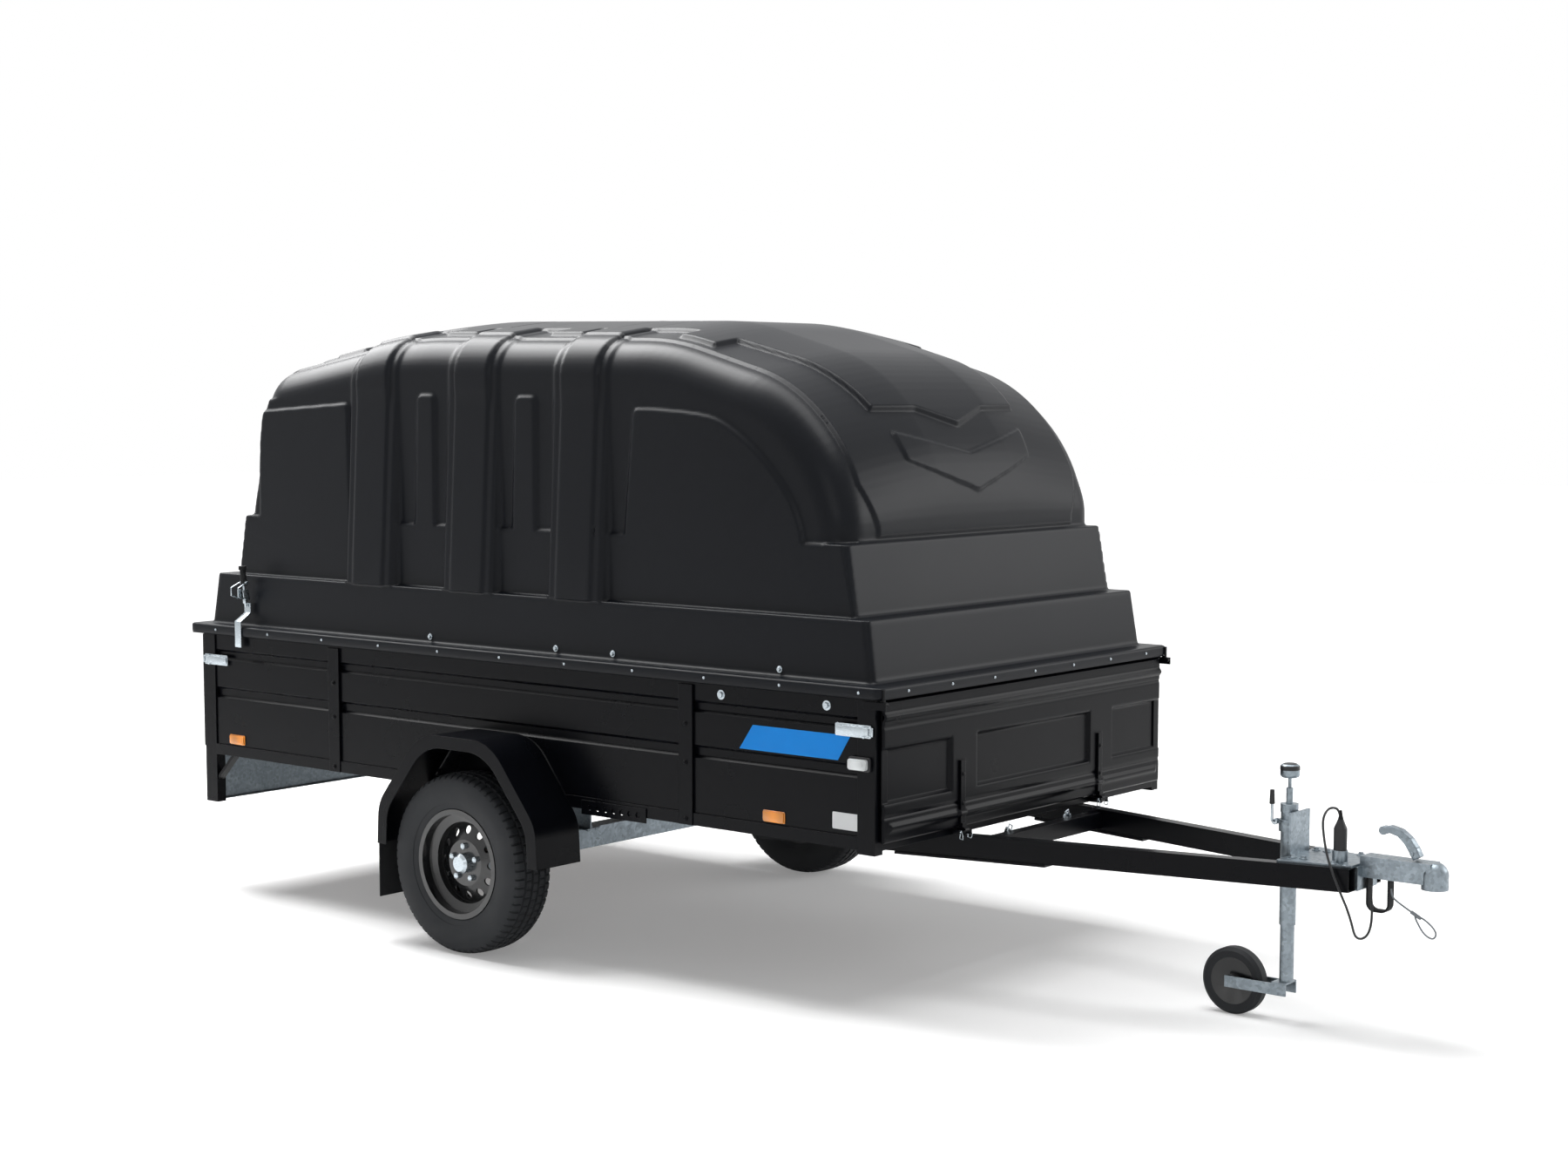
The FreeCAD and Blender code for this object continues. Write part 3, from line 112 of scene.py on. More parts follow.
def varied(tree, main, factor, low, high, socket="Base Color"):
    """Let a pattern run a colour or a roughness between two values."""
    if socket == "Base Color":
        mixed = add(tree, "ShaderNodeMix", {"Factor": factor, "A": low, "B": high},
                    data_type="RGBA")
        tree.links.new(mixed.outputs["Result"], main.inputs[socket])
    else:
        ranged = add(tree, "ShaderNodeMapRange", {"Value": factor, "To Min": low, "To Max": high})
        tree.links.new(ranged.outputs["Result"], main.inputs[socket])


def relief(tree, main, height, depth_mm, strength=1.0, edge_mm=0.0):
    """Bump of a real depth, over edges that a small radius has broken."""
    bump = add(tree, "ShaderNodeBump", {"Height": height, "Strength": strength,
                                        "Distance": depth_mm * MM})
    if edge_mm:
        edge = add(tree, "ShaderNodeBevel", {"Radius": edge_mm * MM}, samples=4)
        tree.links.new(edge.outputs["Normal"], bump.inputs["Normal"])
    tree.links.new(bump.outputs["Normal"], main.inputs["Normal"])


def mottled(name, colour, roughness, grain_mm, depth_mm, cloud_mm, spread=0.12, edge_mm=0.0,
            metallic=0.0, specular=0.5, **more):
    """A finish with fine grain, and slow clouds in its colour and gloss."""
    material, tree, main = shader(name, colour, roughness, metallic, specular, **more)
    place = add(tree, "ShaderNodeTexCoord").outputs["Object"]
    clouds = noise(tree, place, cloud_mm, 4.0).outputs["Fac"]
    grain = noise(tree, place, grain_mm, 3.0, 0.6).outputs["Fac"]
    varied(tree, main, clouds, grown(colour, 1 - spread), grown(colour, 1 + spread))
    varied(tree, main, clouds, roughness * (1 - spread), roughness * (1 + spread), "Roughness")
    relief(tree, main, grain, depth_mm, 0.6, edge_mm)
    return material


def galvanised(name, colour, roughness):
    """Hot dip galvanised steel: grey crystals about 9 mm across, each with its own gloss."""
    material, tree, main = shader(name, colour, roughness, 1.0)
    place = add(tree, "ShaderNodeTexCoord").outputs["Object"]
    crystal = add(tree, "ShaderNodeTexVoronoi", {"Vector": place, "Scale": 1000 / 9.0})
    value = add(tree, "ShaderNodeSeparateColor", {"Color": crystal.outputs["Color"]})
    clouds = noise(tree, place, 60, 3.0).outputs["Fac"]
    both = add(tree, "ShaderNodeMath", {0: value.outputs["Red"], 1: clouds}, operation="MULTIPLY")
    varied(tree, main, both.outputs[0], grown(colour, 0.72), grown(colour, 1.25))
    varied(tree, main, value.outputs["Green"], roughness * 0.75, roughness * 1.3, "Roughness")
    relief(tree, main, noise(tree, place, 1.6, 2.0).outputs["Fac"], 0.05, 0.5, 1.2)
    return material


def plated(name, colour, roughness):
    """Bright zinc plate on pressed steel: pale blue grey with fine rolling lines."""
    material, tree, main = shader(name, colour, roughness, 1.0)
    place = add(tree, "ShaderNodeTexCoord").outputs["Object"]
    drawn = add(tree, "ShaderNodeMapping", {"Vector": place, "Scale": (1.0, 1.0, 14.0)})
    lines = noise(tree, drawn.outputs["Vector"], 22, 4.0).outputs["Fac"]
    varied(tree, main, lines, grown(colour, 0.8), grown(colour, 1.12))
    varied(tree, main, lines, roughness * 0.8, roughness * 1.3, "Roughness")
    relief(tree, main, noise(tree, place, 1.0, 2.0).outputs["Fac"], 0.03, 0.5, 0.9)
    return material


def plywood(name, colour, dark):
    """Birch plywood under a brown phenolic film, whose grain shows as long dark streaks."""
    material, tree, main = shader(name, colour, 0.42)
    place = add(tree, "ShaderNodeTexCoord").outputs["Object"]
    along = add(tree, "ShaderNodeMapping", {"Vector": place, "Scale": (0.09, 1.0, 1.0)})
    grain = noise(tree, along.outputs["Vector"], 14, 6.0, 0.65).outputs["Fac"]
    varied(tree, main, grain, dark, colour)
    relief(tree, main, noise(tree, place, 2.2, 2.0).outputs["Fac"], 0.08, 0.5)
    return material


def lens(name, colour, rib_mm):
    """A moulded lamp lens: clear coloured plastic with fine optic ribs, bumped for real, with a
    painted highlight and painted shade running along them in its colour.
    """
    material, tree, main = shader(name, colour, 0.12, 0.0, 0.6, Coat_Weight=0.6)
    place = add(tree, "ShaderNodeTexCoord").outputs["Object"]
    ribs = add(tree, "ShaderNodeTexWave", {"Vector": place, "Scale": 50 / (math.pi * rib_mm)},
               bands_direction="X")
    # painted highlight and painted shade: the lens colour runs lighter and darker along the optic
    # ribs
    varied(tree, main, ribs.outputs["Fac"], grown(colour, 0.75), grown(colour, 1.1))
    relief(tree, main, ribs.outputs["Fac"], 0.5, 0.7)
    return material


FINISH = {}


def make_finishes(colours):
    """Every material of the trailer, named for what it is."""
    black = srgb("#0c0d0f")
    # polyethylene sheet, vacuum formed: satin black with a fine leather grain
    FINISH["lid"] = mottled("polyethylene_satin_black", tuple(colours.lid) + (1.0,), 0.36, 2.6,
                            0.06, 420, 0.1, specular=0.15)
    # powder coat on pressed steel: black with a slight orange peel and softened folds
    FINISH["steel"] = mottled("powder_coated_steel_black", tuple(colours.steel) + (1.0,), 0.28,
                              3.2, 0.04, 260, 0.12, 2.4, specular=0.1)
    # baked enamel on the wheel discs: smoother and glossier than the powder coat
    FINISH["rim"] = mottled("enamelled_rim_steel_black", black, 0.24, 2.4, 0.03, 120, 0.15, 1.6,
                            specular=0.5, Coat_Weight=0.3)
    # natural rubber with carbon black: matt dark grey with fine dust in its clouds
    FINISH["tyre"] = mottled("vulcanised_tyre_rubber", srgb("#1d1f22"), 0.7, 1.8, 0.1, 70, 0.16,
                             specular=0.35)
    # extruded rubber sheet: dull black, almost even
    FINISH["rubber"] = mottled("sheet_rubber_black", srgb("#101113"), 0.8, 2.0, 0.08, 90, 0.14,
                               specular=0.3)
    # moulded polypropylene: dull black with a sparked grain
    FINISH["plastic"] = mottled("moulded_polypropylene_black", srgb("#111215"), 0.46, 0.9, 0.06,
                                60, 0.12, 0.8, specular=0.45)
    # vinyl drawn over the cable's cores: smooth, with a soft sheen along its length
    FINISH["sheath"] = mottled("vinyl_cable_sheath_black", srgb("#101114"), 0.4, 1.6, 0.04, 40,
                               0.12, specular=0.5)
    # zinc from a hot bath: pale grey crystals that catch the light one by one
    FINISH["galvanised"] = galvanised("galvanised_steel_spangled", srgb("#8e989f"), 0.38)
    # zinc plate on pressed steel: bright and slightly blue, with faint rolling lines
    FINISH["zinc"] = plated("zinc_plated_steel_bright", srgb("#b5bec4"), 0.26)
    # birch plywood under a phenolic film: dark brown, with long streaks of grain
    FINISH["plywood"] = plywood("film_faced_birch_plywood", srgb("#4a3226"), srgb("#2c1c14"))
    # injection moulded acrylic: clear colour, with fine optic ribs that are bumped for real and
    # carry a painted highlight and painted shade in their colour
    FINISH["amber"] = lens("acrylic_reflector_amber", srgb("#f4930a"), 4.0)
    FINISH["red"] = lens("acrylic_lamp_lens_red", srgb("#a30f12"), 5.0)
    FINISH["clear"] = lens("acrylic_lamp_lens_clear", srgb("#dfe3e4"), 5.0)
    # self adhesive vinyl film: even colour, a faint wave where it lies on the pressed side
    FINISH["blue"] = mottled("vinyl_film_blue", tuple(colours.film) + (1.0,), 0.34, 9.0, 0.05,
                             140, 0.05, specular=0.2)
    # self adhesive vinyl sheet: plain white with a dull sheen
    FINISH["label"] = mottled("vinyl_label_white", srgb("#d8dadb"), 0.4, 7.0, 0.04, 60, 0.05)
    # stranded steel wire under clear sheath: dull grey
    FINISH["wire"] = mottled("stranded_steel_wire_grey", srgb("#6f7377"), 0.42, 1.0, 0.1, 12,
                             0.25, metallic=0.85)


def piece(name, mesh, body, finish, nodes=(), angle=35):
    """A finished piece at the origin: its material, what it rides on and what it stands for."""
    made = bpy.data.objects.new(name, mesh)
    bpy.context.scene.collection.objects.link(made)
    mesh.materials.clear()
    mesh.materials.append(FINISH[finish])
    mesh.polygons.foreach_set("material_index", [0] * len(mesh.polygons))
    if angle:
        mesh.shade_smooth()
        mesh.set_sharp_from_angle(angle=math.radians(angle))
    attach(made, body)
    if nodes:
        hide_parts(*nodes)
    return made


def finished(obj, *modifiers):
    """The mesh of an object with some modifiers, given as kind and settings."""
    for kind, settings in modifiers:
        modifier = obj.modifiers.new(kind.lower(), kind)
        for name, value in settings.items():
            setattr(modifier, name, value)
    graph = bpy.context.evaluated_depsgraph_get()
    mesh = bpy.data.meshes.new_from_object(obj.evaluated_get(graph), depsgraph=graph)
    obj.modifiers.clear()
    return mesh


def worked(mesh, *modifiers):
    """A mesh after some modifiers, with the helper object taken away again."""
    helper = bpy.data.objects.new("helper", mesh)
    bpy.context.scene.collection.objects.link(helper)
    made = finished(helper, *modifiers)
    bpy.data.objects.remove(helper)
    return made


def mesh_of(build, name):
    mesh = bpy.data.meshes.new(name)
    build.to_mesh(mesh)
    build.free()
    return mesh


def slab(build, outline, normal, thick, back=0.0):
    """Add a flat plate: an outline of points, pushed out along a normal from its back."""
    normal = Vector(normal).normalized()
    low = [build.verts.new(p + normal * back * MM) for p in outline]
    high = [build.verts.new(p + normal * (back + thick) * MM) for p in outline]
    build.faces.new(low[::-1])
    build.faces.new(high)
    for i, j in zip(range(len(low)), [*range(1, len(low)), 0]):
        build.faces.new([low[i], low[j], high[j], high[i]])


def block(build, low, high):
    """Add a box between two corners, as one step of a compound piece."""
    (x0, y0, z0), (x1, y1, z1) = low, high
    slab(build, [at(x0, y0, z0), at(x1, y0, z0), at(x1, y1, z0), at(x0, y1, z0)], TOP, z1 - z0)


def barrel(build, start, end, radius, end_radius=None, sides=20):
    """Add a round bar between two points, with its own radius at each end."""
    axis = end - start
    turn = axis.to_track_quat("Z", "Y").to_matrix().to_4x4()
    place = Matrix.Translation((start + end) / 2) @ turn
    bmesh.ops.create_cone(build, cap_ends=True, segments=sides, radius1=radius * MM,
                          radius2=(radius if end_radius is None else end_radius) * MM,
                          depth=axis.length, matrix=place)


def rod(build, points, radius, sides=10):
    """Add a bent round bar along some points, with round joints at its bends."""
    for start, end in zip(points, points[1:]):
        barrel(build, start, end, radius, sides=sides)
    for point in points[1:-1]:
        bmesh.ops.create_uvsphere(build, u_segments=sides, v_segments=sides // 2,
                                  radius=radius * MM, matrix=Matrix.Translation(point))


def rounded(width, height, radius, steps=5):
    """The outline of a rounded rectangle in its own plane, in millimetres."""
    points = []
    for turn, (sx, sy) in enumerate(((1, 1), (-1, 1), (-1, -1), (1, -1))):
        for step in range(steps + 1):
            angle = (turn + step / steps) * math.pi / 2
            points.append((sx * (width / 2 - radius) + radius * math.cos(angle),
                           sy * (height / 2 - radius) + radius * math.sin(angle)))
    return points


def on_plane(points, origin, across, up):
    """Turn flat points into places on a plane."""
    return [origin + (Vector(across) * u + Vector(up) * v) * MM for u, v in points]


def pad(build, size, spot, across, out, thick, back=0.0, up=TOP):
    """Add a plate with rounded corners, given its width, height and corner radius."""
    slab(build, on_plane(rounded(*size), spot, across, up), out, thick, back)


def bevelled(build, name, width_mm=0.8, segments=2):
    """The pieces built so far as one mesh with its edges broken."""
    bmesh.ops.recalc_face_normals(build, faces=build.faces)
    return worked(mesh_of(build, name), ("BEVEL", {
        "width": width_mm * MM, "segments": segments, "limit_method": "ANGLE",
        "angle_limit": math.radians(35), "use_clamp_overlap": True}))


def mirrored_copy(build):
    """Repeat everything built so far on the other side of the trailer."""
    whole = build.verts[:] + build.edges[:] + build.faces[:]
    twin = bmesh.ops.duplicate(build, geom=whole)["geom"]
    bmesh.ops.scale(build, vec=(1, -1, 1),
                    verts=[v for v in twin if isinstance(v, bmesh.types.BMVert)])
    bmesh.ops.reverse_faces(build, faces=[f for f in twin if isinstance(f, bmesh.types.BMFace)])


# The lid. Its sizes are in millimetres: outlines of the raised plates and columns on each side
# (ahead, up), the deck's half width along the roof, and the front arrow's half (across, up).
REAR_PLATE = [(-1306, 1180), (-790, 1180), (-804, 1795), (-1291, 1765)]
FRONT_PLATE = [(500, 1180), (1262, 1180), (1250, 1421), (1205, 1520), (1113, 1625), (1020, 1700),
               (904, 1760), (760, 1780), (560, 1784)]
COLUMNS = ([(-470, 1180), (-360, 1180), (-360, 1825), (-445, 1825)],
           [(5, 1180), (124, 1180), (124, 1820), (30, 1820)])
PLATE_CORNER, PLATE_EDGE, PLATE_OUT = 8, 7, 700
DECK = ((-1250, 450), (640, 450), (1130, 400), (1400, 354))
DECK_REAR, DECK_BEND, DECK_POINT, DECK_EDGE, DECK_RISE = -1250, 640, (1724, 1772), 11, 15
ARMS, ARM_HALF, ARM_REACH = (-953, -378, 125, 697), 73, 545
ARROW = [(-900, 1258), (330, 1623), (345, 1708), (-900, 1462)]
ARROW_RISE, ARCH_RISE = 7, 8
# Three bands run up the sides as pilasters and over the roof, each on a wider, lower step.
BANDS, BAND_HALF, STEP_HALF, BAND_RISE, STEP_RISE = (-669, -171, 327), 79, 120, 5, 6
PILASTER_LEAN, PILASTER_RISE, LEAN_TOP = (733, 694), 6, 1860
DOME_HALF, DOME_FOOT, TIER_TOP = 688, 1386, 1170
FLAT_HALF, CROWN_RISE, CROWN_CURVE = 200, 230, 1.2
SHELL_FROM, SHELL_SPAN = 1780, 70
# Blocks that fill the rear corners before the surface is made one: inset and reach of each.
CORNER_FILLS, CORNER_FRONT, CORNER_TOP = ((0, 664), (14, 680), (30, 688)), -1180, 1872
LID_TRIANGLES, RIM_LEVEL, RIM_CUT = 165000, 0.950, 0.9535


def step_up(distance, soft):
    """How far a raised place has risen: nothing outside, one inside, eased over its edge."""
    t = np.clip(0.5 - distance / soft, 0, 1)
    return t * t * (3 - 2 * t)


def within(u, v, points, corner, closed=True):
    """Distance outside a convex outline given anticlockwise, with corners that are rounded."""
    ends = points[1:] + (points[:1] if closed else [])
    total = 0
    for (u0, v0), (u1, v1) in zip(points, ends):
        length = math.hypot(u1 - u0, v1 - v0)
        total = total + np.exp(((u - u0) * (v1 - v0) - (v - v0) * (u1 - u0)) / length / corner)
    return corner * np.log(total)


def crowned(place, drop):
    """Let the roof fall from its middle to both shoulders, as it does on the real moulding."""
    y, z = np.abs(place[:, 1]), place[:, 2]
    fall = np.clip((y - FLAT_HALF) / (DOME_HALF - FLAT_HALF), 0, 1.1)
    high = np.clip((z - DOME_FOOT) / CROWN_RISE, 0, 1)
    place[:, 2] -= drop * fall ** CROWN_CURVE * high * high * (3 - 2 * high)


def roof_relief(x, y, z, normal, middle, wide, shell):
    """How far the arch, the deck with its arms, the arrow and the bands stand out of the roof."""
    # the arch is a plate that widens upwards, and shows only where the surface faces up or ahead
    edge = np.interp(z, (1430, 1560), (528, 585))
    on_dome = np.clip((z - DOME_FOOT - 10) / 8, 0, 1)
    facing = np.clip(np.maximum(np.abs(normal[:, 2]), normal[:, 0]) * 3 - 0.6, 0, 1)
    arch = step_up(y - edge, 7) * on_dome * facing
    half = np.interp(x, *zip(*DECK))
    arms = np.min([np.maximum(np.abs(x - a) - ARM_HALF, y - ARM_REACH) for a in ARMS], axis=0)
    point = np.where(x > DECK_BEND, np.interp(y, (0, 177), DECK_POINT) - z, -99.0)
    outline = np.maximum(np.maximum(np.minimum(y - half, arms), point), DECK_REAR - x)
    deck = step_up(outline, DECK_EDGE) * np.clip(normal[:, 2] * 4 - 0.2, 0, 1) * (z > 1600)
    arrow = step_up(within(y, z, ARROW, 2.5, False), 8) * (normal[:, 0] > 0.3) * (x > 1100)
    bands = (1 - deck) * (wide * STEP_RISE + middle * BAND_RISE) * shell
    return deck * (DECK_RISE - 8 * middle) + ARCH_RISE * arch + ARROW_RISE * arrow + bands


def side_wall(x, y, z, faces_out, middle, wide, shell):
    """How far from the middle each place of a side lies, with its plates and pilasters."""
    plates = [step_up(within(x, z, shape, PLATE_CORNER), PLATE_EDGE)
              for shape in (REAR_PLATE, FRONT_PLATE, *COLUMNS)]
    raised = np.clip((y - 676) / 10, 0, 1) * np.max(plates, axis=0)
    raised = np.where(z < DOME_FOOT, 1.0 * (y > 690), raised)
    wall = y + (np.maximum(y, PLATE_OUT) - y) * raised * faces_out
    lean = np.interp(z, (TIER_TOP, LEAN_TOP), PILASTER_LEAN)
    foot = np.clip((z - TIER_TOP + 5) / 5, 0, 1)
    pilaster = np.maximum(wall, lean) + PILASTER_RISE * middle * foot
    return wall + (pilaster - wall) * wide * foot * (1 - shell)


def pressed(place, normal, proud):
    """Raise the plates, pilasters, bands, deck and arrow out of the plain surface."""
    x, y, z = place[:, 0], np.abs(place[:, 1]), place[:, 2]
    side = np.sign(place[:, 1])
    over = [np.abs(x - c) for c in BANDS]
    middle = sum(step_up(d - BAND_HALF, 10) for d in over)
    wide = sum(step_up(d - STEP_HALF, 12) for d in over)
    shell = np.clip((z - SHELL_FROM) / SHELL_SPAN, 0, 1)
    out = roof_relief(x, y, z, normal, middle, wide, shell)
    moved = place + normal * (out * proud)[:, None]
    wall = side_wall(x, y, z, normal[:, 1] * side > 0.2, middle, wide, shell)
    flat = (y > 600) & (z > 1150) & (z < 1870) & (np.abs(normal[:, 0]) < 0.75)
    moved[:, 1] += side * np.where(flat, wall - y, 0)
    return moved


def from_vertices(mesh, what):
    values = np.empty(len(mesh.vertices) * 3, np.float32)
    mesh.vertices.foreach_get(what, values)
    return values.reshape(-1, 3).astype(float)


def in_millimetres(mesh):
    """Where a mesh's vertices lie, in millimetres from the axle."""
    return from_vertices(mesh, "co") / MM - np.array((HUB.x / MM, 0, 0))


def put_back(mesh, place):
    """Move a mesh's vertices to places in millimetres from the axle."""
    mesh.vertices.foreach_set("co", ((place + (HUB.x / MM, 0, 0)) * MM).ravel())
    mesh.update()


def lid_shells():
    """The lid's outside as a closed block, and its inside with the rim, from the CAD mesh."""
    whole = bmesh.new()
    whole.from_mesh(NODES["lid_shell"].data)
    bmesh.ops.remove_doubles(whole, verts=whole.verts, dist=WELD)
    rim = [f for f in whole.faces
           if f.normal.z < -0.9 and f.calc_center_median().z < RIM_LEVEL + MM]
    rim_mesh = bmesh.new()
    old = {}
    for f in rim:
        for v in f.verts:
            if v not in old:
                old[v] = rim_mesh.verts.new(v.co)
        rim_mesh.faces.new([old[v] for v in f.verts])
    bmesh.ops.delete(whole, geom=rim, context="FACES")
    top = max(whole.verts, key=lambda v: v.co.z)
    outer, waiting = {top}, [top]
    while waiting:
        for link in waiting.pop().link_edges:
            for v in link.verts:
                if v not in outer:
                    outer.add(v)
                    waiting.append(v)
    inside = whole.copy()
    whole.verts.index_update()
    keep = {v.index for v in outer}
    inside.verts.ensure_lookup_table()
    bmesh.ops.delete(inside, geom=[v for v in inside.verts if v.index in keep], context="VERTS")
    bmesh.ops.delete(whole, geom=[v for v in whole.verts if v not in outer], context="VERTS")
    bmesh.ops.holes_fill(whole, edges=[e for e in whole.edges if e.is_boundary], sides=0)
    inside.from_mesh(mesh_of(rim_mesh, "rim"))
    return mesh_of(whole, "lid_outside"), mesh_of(inside, "lid_inside")


def make_lid(sizes):
    """The moulded lid, with all the relief that the CAD solid leaves plain."""
    outside, inside = lid_shells()
    corners = bmesh.new()
    corners.from_mesh(outside)
    for inset, reach in CORNER_FILLS:
        edge = [(-1376 + inset, 1350), (-1303 + inset, 1800), (-1250, CORNER_TOP),
                (CORNER_FRONT, CORNER_TOP), (CORNER_FRONT, 1350)]
        for side in BOTH_SIDES:
            slab(corners, [at(x, side * 500, z) for x, z in edge], (0, side, 0), reach - 500)
    bmesh.ops.recalc_face_normals(corners, faces=corners.faces)
    outside = worked(mesh_of(corners, "lid_outside"),
                     ("REMESH", {"mode": "VOXEL", "voxel_size": sizes.voxel}))
    place = in_millimetres(outside)
    crowned(place, sizes.crown)
    put_back(outside, place)
    place = pressed(in_millimetres(outside), from_vertices(outside, "normal"), sizes.relief)
    put_back(outside, place)
    share = min(1.0, LID_TRIANGLES / (2 * len(outside.polygons)))
    outside = worked(outside, ("SMOOTH", {"factor": 0.5, "iterations": 2}),
                     ("DECIMATE", {"ratio": share}))
    place = in_millimetres(inside)
    crowned(place, sizes.crown)
    put_back(inside, place)
    both = bmesh.new()
    both.from_mesh(outside)
    closed = [f for f in both.faces if all(v.co.z < RIM_CUT for v in f.verts)]
    bmesh.ops.delete(both, geom=closed, context="FACES")
    for v in both.verts:
        if v.co.z < RIM_CUT:
            v.co.z = RIM_LEVEL
    both.from_mesh(inside)
    return piece("lid_moulding", mesh_of(both, "lid_moulding"), "lid", "lid",
                 ["lid_shell"], 50)


def new_tree(name, inputs):
    tree = bpy.data.node_groups.new(name, "GeometryNodeTree")
    tree.interface.new_socket("Geometry", in_out="INPUT", socket_type="NodeSocketGeometry")
    for label, kind in inputs:
        tree.interface.new_socket(label, in_out="INPUT", socket_type=kind)
    tree.interface.new_socket("Geometry", in_out="OUTPUT", socket_type="NodeSocketGeometry")
    start = add(tree, "NodeGroupInput")
    return tree, start.outputs


def end_tree(tree, shape, material):
    """Realize every copy, give it its material and lead it out of the tree."""
    real = add(tree, "GeometryNodeRealizeInstances", {"Geometry": shape})
    coated = add(tree, "GeometryNodeSetMaterial", {"Geometry": real.outputs["Geometry"],
                                                   "Material": material})
    add(tree, "NodeGroupOutput", {"Geometry": coated.outputs["Geometry"]})
    return tree


def turned_tree():
    """Copies of the object's own mesh, spaced evenly round the wheel's axis."""
    tree, given = new_tree("turned_copies", (
        ("Copies", "NodeSocketInt"), ("Centre", "NodeSocketVector"),
        ("Material", "NodeSocketMaterial")))
    points = add(tree, "GeometryNodePoints", {"Count": given["Copies"]})
    index = add(tree, "GeometryNodeInputIndex")
    turn = add(tree, "ShaderNodeMath", {0: index.outputs["Index"], 1: 2 * math.pi},
               operation="MULTIPLY")
    share = add(tree, "ShaderNodeMath", {0: turn.outputs[0], 1: given["Copies"]},
                operation="DIVIDE")
    angles = add(tree, "ShaderNodeCombineXYZ", {"Y": share.outputs[0]})
    back = add(tree, "ShaderNodeVectorMath", {0: given["Centre"], 1: (-1.0, -1.0, -1.0)},
               operation="MULTIPLY")
    centred = add(tree, "GeometryNodeTransform", {"Geometry": given["Geometry"],
                                                  "Translation": back.outputs["Vector"]})
    copies = add(tree, "GeometryNodeInstanceOnPoints", {
        "Points": points.outputs["Geometry"], "Instance": centred.outputs["Geometry"],
        "Rotation": angles.outputs["Vector"]})
    placed = add(tree, "GeometryNodeTransform", {"Geometry": copies.outputs["Instances"],
                                                 "Translation": given["Centre"]})
    real = add(tree, "GeometryNodeRealizeInstances", {"Geometry": placed.outputs["Geometry"]})
    merged = add(tree, "GeometryNodeMergeByDistance", {"Geometry": real.outputs["Geometry"],
                                                       "Distance": 0.00005})
    return end_tree(tree, merged.outputs["Geometry"], given["Material"])


def fastener_tree():
    """A washer and a six-sided or round head on each point, facing where the point says."""
    tree, given = new_tree("fasteners", (
        ("Head Radius", "NodeSocketFloat"), ("Head Height", "NodeSocketFloat"),
        ("Washer Radius", "NodeSocketFloat"), ("Sides", "NodeSocketInt"),
        ("Seed", "NodeSocketInt"), ("Material", "NodeSocketMaterial")))
    washer = add(tree, "GeometryNodeMeshCylinder", {
        "Vertices": 20, "Radius": given["Washer Radius"], "Depth": 0.0024})
    head = add(tree, "GeometryNodeMeshCone", {
        "Vertices": given["Sides"], "Radius Bottom": given["Head Radius"],
        "Depth": given["Head Height"]})
    small = add(tree, "ShaderNodeMath", {0: given["Head Radius"], 1: 0.82},
                operation="MULTIPLY")
    tree.links.new(small.outputs[0], head.inputs["Radius Top"])
    both = add(tree, "GeometryNodeJoinGeometry", {"Geometry": washer.outputs["Mesh"]})
    tree.links.new(head.outputs["Mesh"], both.inputs["Geometry"])
    facing = add(tree, "GeometryNodeInputNamedAttribute", {"Name": "facing"},
                 data_type="FLOAT_VECTOR")
    aimed = add(tree, "FunctionNodeAlignRotationToVector",
                {"Vector": facing.outputs["Attribute"]}, axis="Z")
    spin = add(tree, "FunctionNodeRandomValue", {"Min": 0.0, "Max": 6.28, "Seed": given["Seed"]},
               data_type="FLOAT")
    turn = add(tree, "ShaderNodeCombineXYZ", {"Z": spin.outputs[1]})
    turned = add(tree, "FunctionNodeRotateRotation", {
        "Rotation": aimed.outputs["Rotation"], "Rotate By": turn.outputs["Vector"]},
        rotation_space="LOCAL")
    copies = add(tree, "GeometryNodeInstanceOnPoints", {
        "Points": given["Geometry"], "Instance": both.outputs["Geometry"],
        "Rotation": turned.outputs["Rotation"]})
    return end_tree(tree, copies.outputs["Instances"], given["Material"])


def run_tree(mesh, tree, values):
    """The plain mesh that a tree makes from a mesh, its inputs set by their identifiers."""
    helper = bpy.data.objects.new("helper", mesh)
    modifier = helper.modifiers.new("nodes", "NODES")
    modifier.node_group = tree
    for item in tree.interface.items_tree:
        if item.in_out == "INPUT" and item.name in values:
            modifier[item.identifier] = values[item.name]
    bpy.context.scene.collection.objects.link(helper)
    graph = bpy.context.evaluated_depsgraph_get()
    made = bpy.data.meshes.new_from_object(helper.evaluated_get(graph), depsgraph=graph)
    helper.modifiers.clear()
    bpy.data.objects.remove(helper)
    return made


def fasteners(name, places, body, finish, sizes):
    """Screws or rivets at places, each given with the way that it faces."""
    head, height, washer, sides = sizes
    mesh = bpy.data.meshes.new(name)
    mesh.from_pydata([tuple(p) for p, way in places], [], [])
    facing = mesh.attributes.new("facing", "FLOAT_VECTOR", "POINT")
    facing.data.foreach_set("vector", [value for p, way in places for value in way])
    made = run_tree(mesh, bpy.data.node_groups["fasteners"], {
        "Head Radius": head * MM, "Head Height": height * MM, "Washer Radius": washer * MM,
        "Sides": sides, "Seed": FASTENER_SEED, "Material": FINISH[finish]})
    return piece(name, made, body, finish, angle=25)


